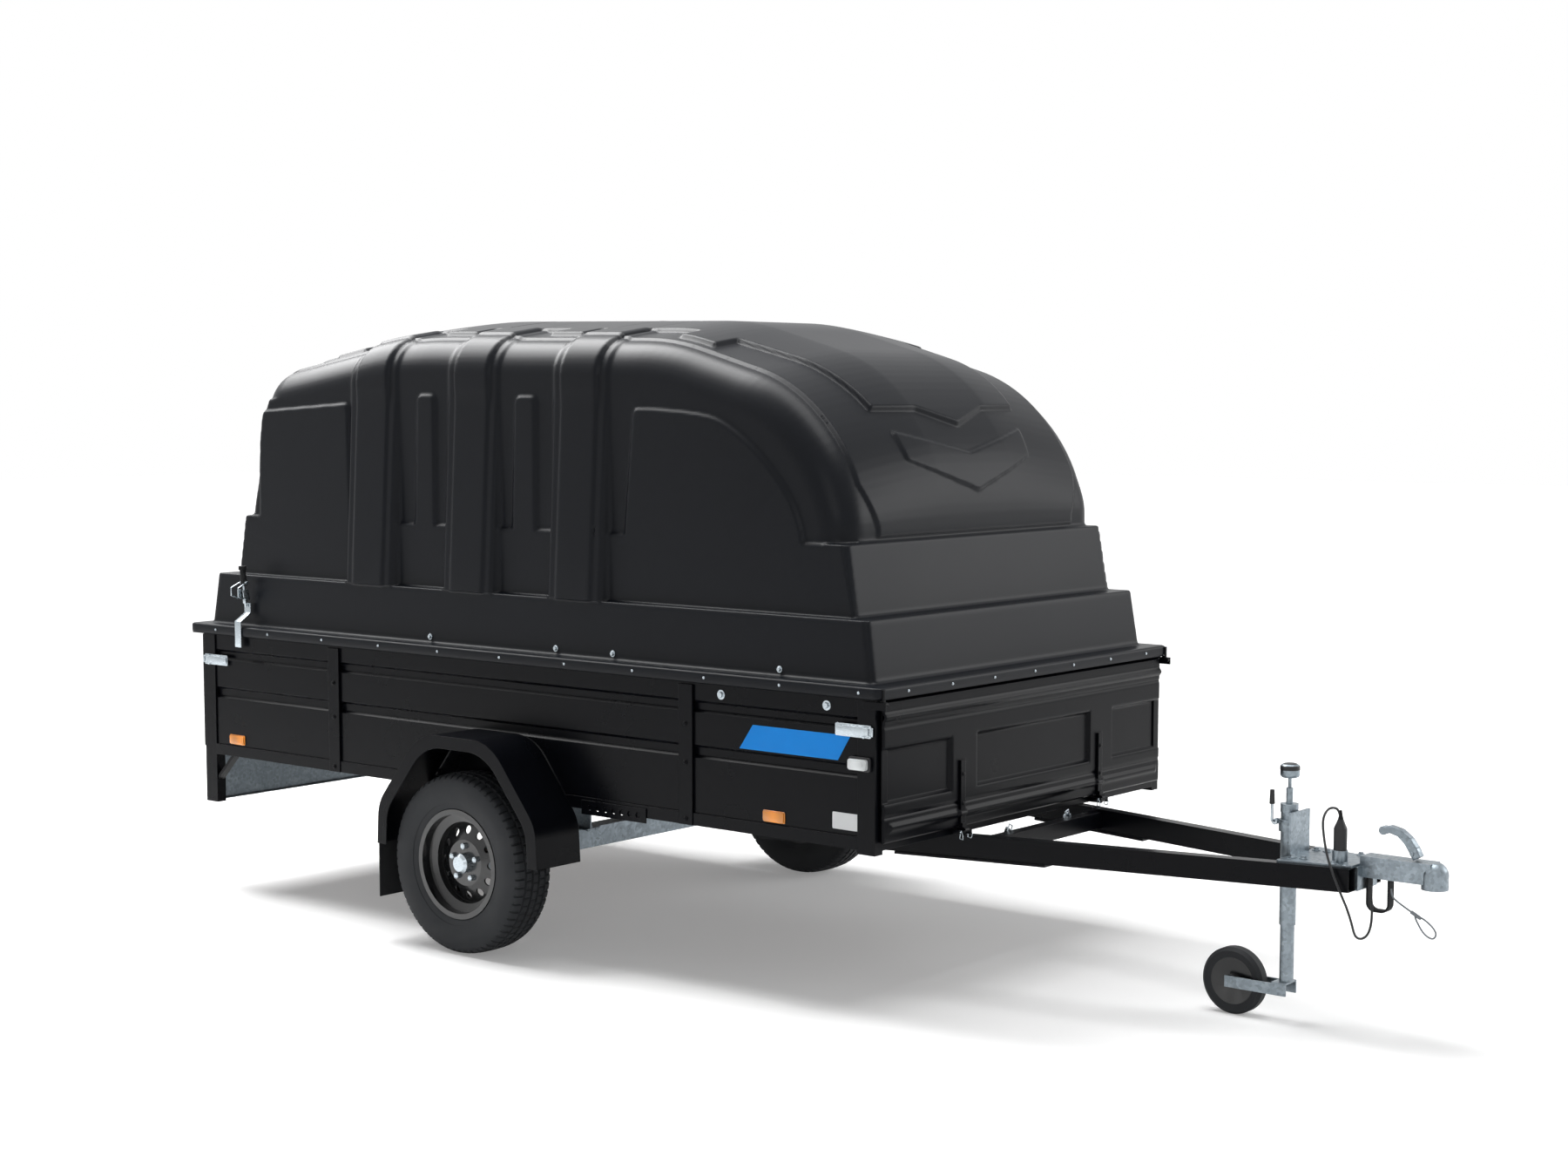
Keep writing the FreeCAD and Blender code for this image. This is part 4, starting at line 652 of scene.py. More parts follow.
# The wheels, in millimetres. Half of the tyre's profile goes from its middle across, as places
# across and radii. A cut has its least radius, its span across, its columns and its depth.
WHEEL_OUT, WHEEL_HEIGHT = 880, 298
TYRE_HALF = ((0, 298), (9, 298), (11, 290.5), (17, 290.5), (19, 297.8), (38, 297), (40, 289.5),
             (46, 289.5), (48, 296), (66, 291.5), (72, 288), (77, 280), (80.5, 268), (82.3, 250),
             (82.3, 236), (80.5, 222), (77.5, 208), (76, 203), (74.5, 203), (72, 193),
             (69.5, 184), (66, 181.5), (62, 182.5), (60, 186), (60, 210), (64, 240),
             (60, 268), (0, 276))
CUTS = ((286, 47, 99, (3, 4), 5.5), (294, 17, 40, (6, 7), 4.0), (297, -1, 12, (1,), 3.0))
TREAD_COLUMNS, TREAD_LEAN, SHOULDER_OUT, SHOULDER_RADIUS = 9, 0.10, 66, 262
BOLT_COUNT, BOLT_CIRCLE, BOLT_SEAT = 5, 56, 906
# Each stage of a wheel bolt: its start, end, radius, end radius and number of sides.
WHEEL_BOLT = ((0, 4, 14, 14, 18), (4, 17, 11, 10.2, 6), (17, 19, 8, 6, 12))


def tyre_pitch(centre, pitches):
    """One pitch of the tread and the side wall under it, with its cuts across the ribs."""
    ring = [*TYRE_HALF, *((-a, r) for a, r in TYRE_HALF[-2:0:-1])]
    build = bmesh.new()
    rows = []
    for column in range(TREAD_COLUMNS + 1):
        row = []
        for across, radius in ring:
            slant = TREAD_LEAN * abs(across) / SHOULDER_OUT * (radius > SHOULDER_RADIUS)
            angle = 2 * math.pi / pitches * (column / TREAD_COLUMNS + slant)
            cut = sum(depth for least, near, far, columns, depth in CUTS
                      if radius > least and near < abs(across) < far and column in columns)
            reach = (radius - cut) * MM
            row.append(build.verts.new(centre + Vector((reach * math.sin(angle), across * MM,
                                                        reach * math.cos(angle)))))
        rows.append(row)
    for left, right in zip(rows, rows[1:]):
        for i in range(len(ring)):
            j = (i + 1) % len(ring)
            build.faces.new([left[i], left[j], right[j], right[i]])
    return mesh_of(build, "tyre_pitch")


def outward(mesh):
    """Merge what meets and point every face outwards."""
    build = bmesh.new()
    build.from_mesh(mesh)
    bmesh.ops.remove_doubles(build, verts=build.verts, dist=0.00004)
    bmesh.ops.recalc_face_normals(build, faces=build.faces)
    build.to_mesh(mesh)
    build.free()
    return mesh


def turned_copies(mesh, copies, centre, finish):
    return run_tree(mesh, bpy.data.node_groups["turned_copies"], {
        "Copies": copies, "Centre": tuple(centre), "Material": FINISH[finish]})


def make_wheels(sizes):
    """Tyres with ribs and cuts, and the bolts of both wheels."""
    for side, sign in (("right", -1), ("left", 1)):
        body, centre = "wheel_" + side, at(0, WHEEL_OUT * sign, WHEEL_HEIGHT)
        pitch = tyre_pitch(centre, sizes.pitches)
        tyre = outward(turned_copies(pitch, sizes.pitches, centre, "tyre"))
        piece("tyre_" + side, tyre, body, "tyre", ["wheel_tyre_" + side], 28)
        bolt = bmesh.new()
        seat = at(0, sign * BOLT_SEAT, WHEEL_HEIGHT + BOLT_CIRCLE)
        for start, end, radius, end_radius, sides in WHEEL_BOLT:
            way = LEFT * sign * MM
            barrel(bolt, seat + way * start, seat + way * end, radius, end_radius, sides)
        bolts = outward(turned_copies(mesh_of(bolt, "bolt"), BOLT_COUNT, centre, "zinc"))
        piece("wheel_bolts_" + side, bolts, body, "zinc")


# The front gate's pressing, in millimetres: the middle and half width of its three recesses,
# and its folds by level, half height, reach to each side, softness and depth.
GATE_X, GATE_HALF, GATE_FOOT, GATE_HEAD, GATE_GRID = 1610, 768, 528, 944, 5.0
GATE_BAYS, BAY_LEVEL, BAY_HALF, BAY_DEPTH = ((-598, 177), (19, 323), (622, 160)), 724, 79, 12
GATE_FOLDS = ((898, 8, 999, 14, -8), (868, 3, 999, 12, 4), (604, 3, 999, 10, 4),
              (572, 9, 740, 14, -7))
HEM_WIDTH, HEM_DEPTH, GATE_SHEET = 3, 5, 2
GATE_ARM, GATE_ARM_HALF, GATE_ARM_TOP = 383, 20, 735


def gate_relief(y, z):
    """How deep each place of the front gate lies behind its frame, in millimetres."""
    depth = 0.0
    for middle, half in GATE_BAYS:
        box = np.maximum(np.abs(y - middle) - half + 10, np.abs(z - BAY_LEVEL) - BAY_HALF)
        depth = depth + BAY_DEPTH * step_up(box, 12)
    for level, half, reach, soft, deep in GATE_FOLDS:
        strip = np.maximum(np.abs(z - level) - half, np.abs(y) - reach)
        depth = depth + deep * step_up(strip, soft)
    return depth


def make_front_gate():
    """The front gate's pressing: a sheet with three recesses, a ridge and a lower rib."""
    y, z = np.meshgrid(np.arange(-GATE_HALF, GATE_HALF + 1, GATE_GRID),
                       np.linspace(GATE_FOOT, GATE_HEAD, 85))
    inset = np.minimum(GATE_HALF - np.abs(y), np.minimum(z - GATE_FOOT, GATE_HEAD - z))
    x = GATE_X - gate_relief(y, z) - HEM_DEPTH * step_up(inset - HEM_WIDTH, 6)
    arms = sum(step_up(np.abs(y - side * GATE_ARM) - GATE_ARM_HALF, 8) for side in BOTH_SIDES)
    x = x - np.clip(GATE_X - 1.0 - x, -9, 0) * arms * (z < GATE_ARM_TOP)
    build = bmesh.new()
    rows = [[build.verts.new(at(*p)) for p in zip(*line)] for line in zip(x, y, z)]
    for one, two in zip(rows, rows[1:]):
        for i in range(len(one) - 1):
            build.faces.new([one[i], one[i + 1], two[i + 1], two[i]])
    sheet = worked(mesh_of(build, "front_gate_sheet"),
                   ("SOLIDIFY", {"thickness": GATE_SHEET * MM, "offset": -1.0}))
    whole = bmesh.new()
    whole.from_mesh(sheet)
    for inner, outer in ((-766, -740), (740, 766)):
        block(whole, (1598.5, inner, GATE_FOOT + 2), (1603, outer, GATE_HEAD - 2))
    return piece("front_gate_pressing", mesh_of(whole, "front_gate_pressing"),
                 "front_gate", "steel", ["front_gate_panel"], 30)


# Routes of the cables, in millimetres, and the radius of each.
CABLE = ((2777, -29, 443), (2779, -31, 425), (2786, -37, 400), (2792, -46, 368),
         (2794, -55, 335), (2790, -67, 309), (2781, -86, 300), (2773, -104, 307),
         (2770, -114, 324), (2768, -124, 352), (2755, -130, 395), (2733, -133, 441),
         (2708, -132, 493), (2688, -127, 543), (2674, -117, 588), (2664, -106, 628),
         (2665, -86, 655), (2674, -62, 662), (2687, -48, 652), (2690, -46, 624))
WIRE = ((2836, -20, 441), (2838, -22, 428), (2846, -26, 416), (2872, -28, 401), (2904, -28, 384))
EYE = ((2912, -28, 378), (2944, -28, 369), (2980, -28, 338), (2970, -28, 314),
       (2940, -28, 326), (2915, -28, 366))
CABLE_RADIUS, WIRE_RADIUS = 3.5, 2.5
# The sleeve on the wire's end: start, end, radius and end radius of both its stages.
SLEEVE = ((-3, 26, 5.2, 5.2), (26, 31, 5.2, 3.6))


def cord_curve(name, points, radius, closed=False):
    """A smooth curve that has the route's points as its control points."""
    curve = bpy.data.curves.new(name, "CURVE")
    curve.dimensions = "3D"
    curve.bevel_depth, curve.bevel_resolution, curve.resolution_u = radius * MM, 5, 10
    curve.use_fill_caps = not closed
    line = curve.splines.new("NURBS")
    line.points.add(len(points) - 1)
    for point, place in zip(line.points, points):
        point.co = (*at(*place), 1.0)
    line.order_u = 3
    line.use_cyclic_u = closed
    line.use_endpoint_u = not closed
    return curve


def hang(name, points, radius, finish):
    """A cord that rides on the drawbar."""
    made = bpy.data.objects.new(name, cord_curve(name, points, radius))
    bpy.context.scene.collection.objects.link(made)
    made.data.materials.append(FINISH[finish])
    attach(made, "drawbar")
    return made


def make_cables():
    """The lighting cable from the drawbar to its parked plug, and the breakaway wire."""
    cable = hang("lighting_lead", CABLE, CABLE_RADIUS, "sheath")
    wire = hang("breakaway_wire", WIRE, WIRE_RADIUS, "wire")
    loop = bpy.data.objects.new("helper", cord_curve("loop", EYE, WIRE_RADIUS, True))
    bpy.context.scene.collection.objects.link(loop)
    build = bmesh.new()
    build.from_mesh(finished(loop))
    bpy.data.objects.remove(loop)
    tip = at(*WIRE[-1])
    way = (tip - at(*WIRE[-2])).normalized() * MM
    for start, end, radius, end_radius in SLEEVE:
        barrel(build, tip + way * start, tip + way * end, radius, end_radius, 14)
    eye = piece("breakaway_loop", mesh_of(build, "breakaway_loop"), "drawbar", "wire")
    boot = bmesh.new()
    barrel(boot, at(2690, -46, 622), at(2690, -46, 640), 8.5, 5.0, 20)
    barrel(boot, at(2690, -46, 640), at(2689, -47, 652), 5.0, 4.2, 20)
    piece("plug_boot", bevelled(boot, "plug_boot", 0.4), "drawbar", "rubber")


# Screws, bolts and rivets, in millimetres: head radius, head height, washer radius and sides.
FLANGE_RIVET, LID_SCREW, SIDE_BOLT = (3.4, 3.0, 4.4, 10), (7.5, 7.0, 10.5, 6), (10.5, 7.0, 15, 6)
POST_BOLT, GUARD_BOLT, FLAP_BOLT = (6.5, 5.0, 9.5, 6), (6.5, 5.0, 11, 6), (4.0, 3.0, 7.0, 6)
PANEL_RIVET, LAMP_SCREW = (5.0, 3.0, 7.0, 12), (3.5, 2.0, 5.0, 12)
NOSE_BOLT, AXLE_BOLT = (9.0, 7.5, 13, 6), (9.0, 8.0, 13, 6)
FLANGE_LEVEL, FLANGE_STEP, FLANGE_END = 968, 220, 660


def on_sides(out, places, lean=0.0):
    """Places ahead and up, on the right and then on the left side, facing outwards."""
    return [(at(x, side * out, z), Vector((0, side, lean))) for side in BOTH_SIDES
            for x, z in places]


def make_fasteners():
    """Every screw, bolt and rivet that shows, by body."""
    ends = range(-FLANGE_END, FLANGE_END + 1, FLANGE_STEP)
    rivets = on_sides(797.2, [(x, FLANGE_LEVEL) for x in range(-1440, 1600, 298)])
    rivets += [(at(1618.2, y, FLANGE_LEVEL), FRONT) for y in ends]
    rivets += [(at(-1593.2, y, FLANGE_LEVEL), -FRONT) for y in ends]
    fasteners("flange_rivets", rivets, "lid", "zinc", FLANGE_RIVET)
    screws = on_sides(739.6, [(x, 1007) for x in (-345, 254, 508, 1196)], 0.05)
    fasteners("lid_screws", screws, "lid", "zinc", LID_SCREW)
    bolts = on_sides(782.2, ((1001, 919), (1411, 920)))
    fasteners("side_bolts", bolts, "box", "zinc", SIDE_BOLT)
    posts = on_sides(790.2, [(x, z) for x in (-793, 861) for z in (524, 700, 820)])
    fasteners("post_bolts", posts, "box", "steel", POST_BOLT)
    arms = [(at(1619.2, y, z), FRONT) for y in (-383, 383) for z in (600, 690)]
    fasteners("gate_arm_rivets", arms, "front_gate", "steel", PANEL_RIVET)
    leaves = [(at(-1557.2, y, z), -FRONT) for y in (-520, 520) for z in (560, 600)]
    fasteners("tailgate_rivets", leaves, "tailgate", "steel", PANEL_RIVET)
    lamps = [(at(-1559.5, side * y, 456), -FRONT) for side in BOTH_SIDES for y in (555, 715)]
    fasteners("lamp_screws", lamps, "box", "zinc", LAMP_SCREW)
    guards = on_sides(790.4, ((-250, 560), (-120, 690), (170, 690), (300, 560)))
    fasteners("mudguard_bolts", guards, "box", "steel", GUARD_BOLT)
    flaps = [(at(x, side * y, 348), way) for x, way in ((-346, FRONT), (-353, -FRONT))
             for side in BOTH_SIDES for y in (815, 885, 955)]
    fasteners("flap_bolts", flaps, "box", "zinc", FLAP_BOLT)
    nose = [(at(x, side * y, 505), TOP) for pair, y in (((2556, 2590), 72), ((2690, 2728), 86))
            for x in pair for side in BOTH_SIDES]
    fasteners("nose_bolts", nose, "drawbar", "galvanised", NOSE_BOLT)
    axle = [(at(x, y, 387.6), -TOP) for y in (-560, -520, 520, 560) for x in (110, 220)]
    fasteners("axle_bolts", axle, "box", "galvanised", AXLE_BOLT)


# Labels and film, in millimetres: outline of the film ahead and up, then each label's width,
# height and corner radius.
SIDE_FACE, FILM = 782, [(1127, 838), (1500, 838), (1453, 762), (1074, 762)]
SIDE_LABEL, BEAM_LABEL, LABEL_THICK = (108, 50, 4), (96, 44, 3), 0.5


def beam_face(middle, lie, out):
    """How far the outer face of the drawbar's right beam lies from a place, outwards."""
    return max(out.dot(v.co - middle) for v in NODES["drawbar_beams"].data.vertices
               if v.co.y < -0.1 and abs((v.co - middle).dot(lie)) < 0.7)


def make_labels():
    """Blank self adhesive labels and the blue film on both sides."""
    build = bmesh.new()
    slab(build, [at(x, -SIDE_FACE, z) for x, z in FILM], RIGHT, LABEL_THICK)
    mirrored_copy(build)
    piece("side_film", bevelled(build, "side_film", 0.2, 1), "box", "blue")
    build = bmesh.new()
    pad(build, SIDE_LABEL, at(1487, -SIDE_FACE, 584), FRONT, RIGHT, LABEL_THICK)
    piece("blank_label", bevelled(build, "blank_label", 0.15, 1), "box", "label")
    build = bmesh.new()
    lie = (at(2745, -82, 0) - at(914, -484, 0)).normalized()
    out = Vector((lie.y, -lie.x, 0))
    middle = at(2150, -240, 466)
    face = middle + out * (beam_face(middle, lie, out) + 0.2 * MM)
    pad(build, BEAM_LABEL, face, lie, out, LABEL_THICK)
    piece("beam_label", bevelled(build, "beam_label", 0.15, 1), "drawbar", "label")


# Gate latches, in millimetres: the end of the box that each is at, and its place ahead; the
# base plate; the lever's outline, from the latch's middle towards its gate; its two ribs.
LATCH_ENDS, LATCH_OUT, LATCH_LEVEL = ((1, 1516), (-1, -1448)), 790, 856
LATCH_BASE = (132, 38, 5)
LATCH_LEVER = ((-62, -9), (-62, 9), (-20, 15), (58, 15), (58, -15), (-20, -15))
LATCH_RIBS, LATCH_BARS = (-15, 13), (-11, 11)


def make_gate_latches():
    """Over-centre latches that hold both gates to the corner posts."""
    build = bmesh.new()
    for end, ahead in LATCH_ENDS:
        spot = at(ahead, -LATCH_OUT, LATCH_LEVEL)

        def by(u, out, v):
            return spot + (FRONT * u * end + RIGHT * out + TOP * v) * MM

        pad(build, LATCH_BASE, spot, FRONT, RIGHT, 2.0)
        lever = [(u * end, v) for u, v in LATCH_LEVER]
        slab(build, on_plane(lever, spot, FRONT, TOP), RIGHT, 2.2, 4)
        for z in LATCH_RIBS:
            strip = [(-20 * end, z), (58 * end, z), (58 * end, z + 2), (-20 * end, z + 2)]
            slab(build, on_plane(strip, spot, FRONT, TOP), RIGHT, 6.5, 1)
        barrel(build, by(40, 3.5, -20), by(40, 3.5, 20), 3.4, sides=14)
        for z in LATCH_BARS:
            rod(build, [by(40, 5.5, z), by(70, 2, z)], 2.2)
        barrel(build, by(70, 2, -13), by(70, 2, 13), 3.0, sides=12)
    mirrored_copy(build)
    piece("gate_toggle_latches", bevelled(build, "gate_toggle_latches", 0.6), "box", "zinc",
          ["gate_latches"])


# Lid latches, in millimetres: outlines of the bent straps and cheeks, and half of each bail.
# The rear latch is seen from its side (ahead, up), and so is the side latch (across, up).
REAR_LATCH, SIDE_LATCH = -596, -1305
REAR_STRAP = ((-1573, 1030), (-1569, 1030), (-1572, 1000), (-1594, 980), (-1594, 950),
              (-1597.5, 950), (-1597.5, 983), (-1577, 1001))
REAR_CHEEK = ((-1560, 1060), (-1550, 1060), (-1547, 1128), (-1556, 1128))
REAR_BAIL = ((-1560, 13, 1098), (-1578, 13, 1075), (-1580, 13, 1040), (-1572, 8, 1024))
SIDE_STRAP = ((-757, 1070), (-757, 1036), (-802, 1006), (-802, 912), (-798.5, 912),
              (-798.5, 1004), (-753, 1033), (-753, 1070))
SIDE_CHEEK = ((-756, 1082), (-784, 1090), (-788, 1118), (-764, 1122))
SIDE_BAIL = ((18, -770, 1148), (20, -812, 1128), (20, -812, 1100), (18, -786, 1090))


def rear_latch(metal, grip, y):
    """A pull-down latch on the lid's rear: rod with nuts, bail, bent strap and rubber grip."""
    low, top = at(-1570, y, 1010), at(-1556, y, 1120)
    barrel(metal, low, top, 3.6, sides=14)
    for share in (0.25, 0.62):
        nut = low.lerp(top, share)
        barrel(metal, nut, nut.lerp(top, 0.12), 7.5, sides=6)
    for side in BOTH_SIDES:
        rod(metal, [at(x, y + side * out, z) for x, out, z in REAR_BAIL], 2.2)
    slab(metal, [at(x, y - 14, z) for x, z in REAR_STRAP], LEFT, 28)
    slab(metal, [at(x, y - 17, z) for x, z in REAR_CHEEK], LEFT, 34)
    barrel(grip, at(-1554, y, 1118), at(-1549, y, 1158), 11, 9, 18)
    barrel(grip, at(-1550, y - 17, 1150), at(-1550, y + 17, 1150), 7.5, 7.5, 16)


def side_latch(metal, grip, x):
    """The same kind of latch on the side, ahead of the rear corner, hooked under the flange."""
    slab(metal, [at(x - 17, y, z) for y, z in SIDE_STRAP], FRONT, 34)
    barrel(metal, at(x, -764, 1058), at(x, -772, 1140), 4.2, sides=14)
    barrel(metal, at(x, -766, 1070), at(x, -767, 1086), 9, sides=6)
    for side in BOTH_SIDES:
        slab(metal, [at(x + side * 15 - 1.5, y, z) for y, z in SIDE_CHEEK], FRONT, 3)
    barrel(metal, at(x - 18, -770, 1146), at(x + 18, -770, 1146), 6, sides=14)
    for side in BOTH_SIDES:
        rod(metal, [at(x + side * out, y, z) for out, y, z in SIDE_BAIL], 2.4)
    barrel(grip, at(x, -770, 1136), at(x, -776, 1204), 12, 10, 18)
    barrel(grip, at(x, -776, 1192), at(x, -776, 1206), 14, 14, 18)


def make_lid_latches():
    """Two latches on the lid's rear and one on each side, in plated steel and rubber."""
    metal, grip = bmesh.new(), bmesh.new()
    rear_latch(metal, grip, REAR_LATCH)
    side_latch(metal, grip, SIDE_LATCH)
    for build, name, finish, slot, nodes in (
            (metal, "lid_latch_rods", "zinc", "zinc", ["lid_latches"]),
            (grip, "lid_latch_grips", "rubber", "black_rubber", [])):
        mirrored_copy(build)
        piece(name, bevelled(build, name, 0.6), "lid", finish, nodes)


# Drawbar catches, in millimetres: where each is across, and how far it leans in radians.
CATCHES, CATCH_AHEAD, CATCH_LEVEL = ((-172, 0.5), (172, -0.3)), 1636, 470


def make_drawbar_catches():
    """Two pressed over-centre catches that hold the drawbar down under the front gate."""
    build = bmesh.new()
    for y, lean in CATCHES:
        base = at(CATCH_AHEAD, y, CATCH_LEVEL)
        up = Vector((0, math.sin(lean), math.cos(lean)))
        side = Vector((0, up.z, -up.y))
        pad(build, (28, 62, 6), base, side, FRONT, 2.5, -8, up)
        for s in BOTH_SIDES:
            edge = [(s * 12, -30), (s * 12, 24), (s * 14.5, 24), (s * 14.5, -30)]
            slab(build, on_plane(edge, base, side, up), FRONT, 11, -8)
        barrel(build, *on_plane([(-17, 0), (17, 0)], base, side, up), 3.2, sides=14)
        rod(build, on_plane([(9, 0), (9, 40), (-9, 40), (-9, 0)], base, side, up), 2.2)
        barrel(build, *on_plane([(-10, -30), (10, -30)], base, side, up), 4.2, sides=12)
    piece("drawbar_toggles", bevelled(build, "drawbar_toggles", 0.5), "drawbar", "zinc",
          ["toggle_catches"])


# The coupling's lever, in millimetres: its spine ahead and up, and its half height along it.
LEVER_SPINE = ((2906, 533), (2893, 556), (2876, 580), (2852, 599), (2824, 606), (2806, 602))
LEVER_HALF = (11, 12, 11, 9.5, 9, 8)
LEVER_WEB = 12.5


def make_coupling_handle():
    """The coupling's pressed lever, which curves up and back to its rounded grip."""
    build = bmesh.new()
    upper, lower = [], []
    last = len(LEVER_SPINE) - 1
    for i, ((x, z), wide) in enumerate(zip(LEVER_SPINE, LEVER_HALF)):
        (x0, z0), (x1, z1) = LEVER_SPINE[max(i - 1, 0)], LEVER_SPINE[min(i + 1, last)]
        length = math.hypot(x1 - x0, z1 - z0)
        nx, nz = -(z1 - z0) / length * wide, (x1 - x0) / length * wide
        upper.append((x + nx, z + nz))
        lower.append((x - nx, z - nz))
    for side in BOTH_SIDES:
        slab(build, [at(x, side * 13, z) for x, z in upper + lower[::-1]], (0, -side, 0), 3)
    for (x0, z0), (x1, z1) in zip(lower, lower[1:]):
        web = ((x0, -LEVER_WEB, z0), (x1, -LEVER_WEB, z1), (x1, LEVER_WEB, z1),
               (x0, LEVER_WEB, z0))
        slab(build, [at(*place) for place in web], (z1 - z0, 0, x0 - x1), 3)
    barrel(build, at(2803, -LEVER_WEB, 602), at(2803, LEVER_WEB, 602), 12.5, sides=24)
    barrel(build, at(2893, -17, 546), at(2893, 17, 546), 6, sides=16)
    piece("coupling_lever", bevelled(build, "coupling_lever", 1.2, 3), "drawbar", "galvanised",
          ["coupling_handle"])


# The jockey's knob, in millimetres: the start, end, radius and end radius of its three stages.
JOCKEY_AHEAD, KNOB = 2504, ((735, 744, 22, 28.6), (744, 756, 28.6, 28.6), (756, 763.5, 28.6, 18))


def make_jockey_trim():
    """The black knob on the crank, and the clamp's lever with its grip."""
    knob, metal = bmesh.new(), bmesh.new()
    for low, high, radius, end_radius in KNOB:
        barrel(knob, at(JOCKEY_AHEAD, 0, low), at(JOCKEY_AHEAD, 0, high), radius, end_radius, 28)
    barrel(knob, at(2486, -71, 652), at(2486, -71, 694), 8.0, 6.5, 16)
    rod(metal, [at(2486, -40, 598), at(2486, -71, 604), at(2486, -71, 656)], 4.2)
    barrel(metal, at(2486, -56, 598), at(2486, -36, 598), 9.5, sides=6)
    piece("jockey_grips", bevelled(knob, "jockey_grips", 1.5, 3), "drawbar", "plastic")
    piece("jockey_clamp_lever", bevelled(metal, "jockey_clamp_lever", 0.6), "drawbar", "zinc")


# Spring pins, in millimetres: half length, and the ring's path ahead, outwards and up.
PIN_HALF, PIN_END = 26, 21
PIN_RING = ((0, 0, 0), (8, 4, -12), (6, 0, -24), (-6, 0, -22), (-4, 0, -6))


def make_gate_pins():
    """Spring pins with their rings, through the lower ends of the front gate's arms."""
    build = bmesh.new()
    for y in (-GATE_ARM, GATE_ARM):
        barrel(build, at(1628, y - PIN_HALF, 518), at(1628, y + PIN_HALF, 518), 3.4, sides=12)
        for side in BOTH_SIDES:
            rod(build, [at(1628 + x, y + side * (PIN_END + out), 518 + z)
                        for x, out, z in PIN_RING], 1.4, 8)
    piece("gate_spring_pins", bevelled(build, "gate_spring_pins", 0.3), "box", "zinc")


# Lamps, in millimetres: place of each, then the width, height, corner, thickness and start of
# each plate. A side lamp faces right and a rear lamp backwards.
SIDE, REAR = (FRONT, RIGHT), (LEFT, -FRONT)
MARKER, REFLECTORS = ((1542, -787, 760),), ((1211, -SIDE_FACE, 568), (-1342, -SIDE_FACE, 568))
LAMPS = (
    # name, finish, slot, replaced nodes, facing, edge radius, places, plates
    ("marker_housings", "plastic", "black_plastic", ["marker_lamps"], SIDE, 1.6, MARKER,
     ((78, 42, 6, 9, 0),)),
    ("marker_lenses", "clear", "lamp_white", [], SIDE, 1.6, MARKER,
     ((66, 32, 8, 14, 9), (44, 18, 7, 2.5, 23))),
    ("reflector_frames", "amber", "lamp_amber", ["side_reflectors"], SIDE, 1.6, REFLECTORS,
     ((86, 36, 5, 3.2, 0),)),
    ("reflector_lenses", "amber", "lamp_amber", [], SIDE, 1.6, REFLECTORS,
     ((80, 30, 4, 4.6, 3),)),
    ("tail_lamp_housings", "plastic", "black_plastic", ["tail_lamps"], REAR, 2.0,
     ((-1525, -635, 408),), ((200, 112, 10, 14, 0),)),
    ("tail_lamp_red", "red", "lamp_red", [], REAR, 2.0, ((-1525, -665, 408),),
     ((130, 98, 8, 19, 14),)),
    ("tail_lamp_amber", "amber", "lamp_amber", [], REAR, 2.0, ((-1525, -573, 408),),
     ((50, 98, 8, 19, 14),)),
    ("tail_lamp_white", "clear", "lamp_white", [], REAR, 2.0, ((-1525, -665, 384),),
     ((36, 30, 5, 20, 14),)),
)


def make_lamps():
    """Housings and lenses of the marker lamps, side reflectors and tail lamps."""
    for name, finish, slot, nodes, (across, out), edge, places, plates in LAMPS:
        build = bmesh.new()
        for place in places:
            for *size, thick, start in plates:
                pad(build, size, at(*place), across, out, thick, start)
        mirrored_copy(build)
        piece(name, bevelled(build, name, edge, 3), "box", finish, nodes)


# The camera stands where the photograph was taken from, in metres and radians.
CAMERA_PLACE, CAMERA_YAW, CAMERA_PITCH = (5.1423, -6.3348, 1.8322), 2.2618, -0.0881
CAMERA_LENS, CAMERA_SENSOR, CAMERA_SHIFT = 56.1, 36.0, 0.01306
# The floor is white near the horizon and keeps a shadow near the trailer, in metres.
FLOOR_REACH, GLOW_FROM, GLOW_TO = 40.0, 2.5, 11.0
AMBIENT, MIRRORED = 0.22, 0.9
LIGHTS = (
    # name, place, aim, width, height, watts
    ("front_soft_box", (5.6, 5.2, 3.4), (0.8, 0.0, 1.1), 5.0, 3.4, 170),
    ("rear_soft_box", (-3.6, -0.4, 5.4), (-0.4, -0.4, 1.6), 3.4, 5.0, 520),
    ("roof_soft_box", (-0.4, 0.0, 6.0), (-0.4, 0.0, 1.5), 8.0, 2.4, 330),
    ("side_soft_box", (5.0, -7.0, 4.4), (0.4, 0.0, 0.7), 3.0, 2.0, 40),
)


def place_camera(scene):
    """The camera at the photograph's angle."""
    data = bpy.data.cameras.new("camera")
    data.lens, data.sensor_width, data.shift_y = CAMERA_LENS, CAMERA_SENSOR, CAMERA_SHIFT
    data.clip_end = 200
    camera = bpy.data.objects.new("camera", data)
    level = math.cos(CAMERA_PITCH)
    ahead = Vector((level * math.cos(CAMERA_YAW), level * math.sin(CAMERA_YAW),
                    math.sin(CAMERA_PITCH)))
    across = Vector((math.sin(CAMERA_YAW), -math.cos(CAMERA_YAW), 0))
    turn = Matrix((across, across.cross(ahead), -ahead)).transposed().to_4x4()
    camera.matrix_world = Matrix.Translation(CAMERA_PLACE) @ turn
    scene.collection.objects.link(camera)
    scene.camera = camera


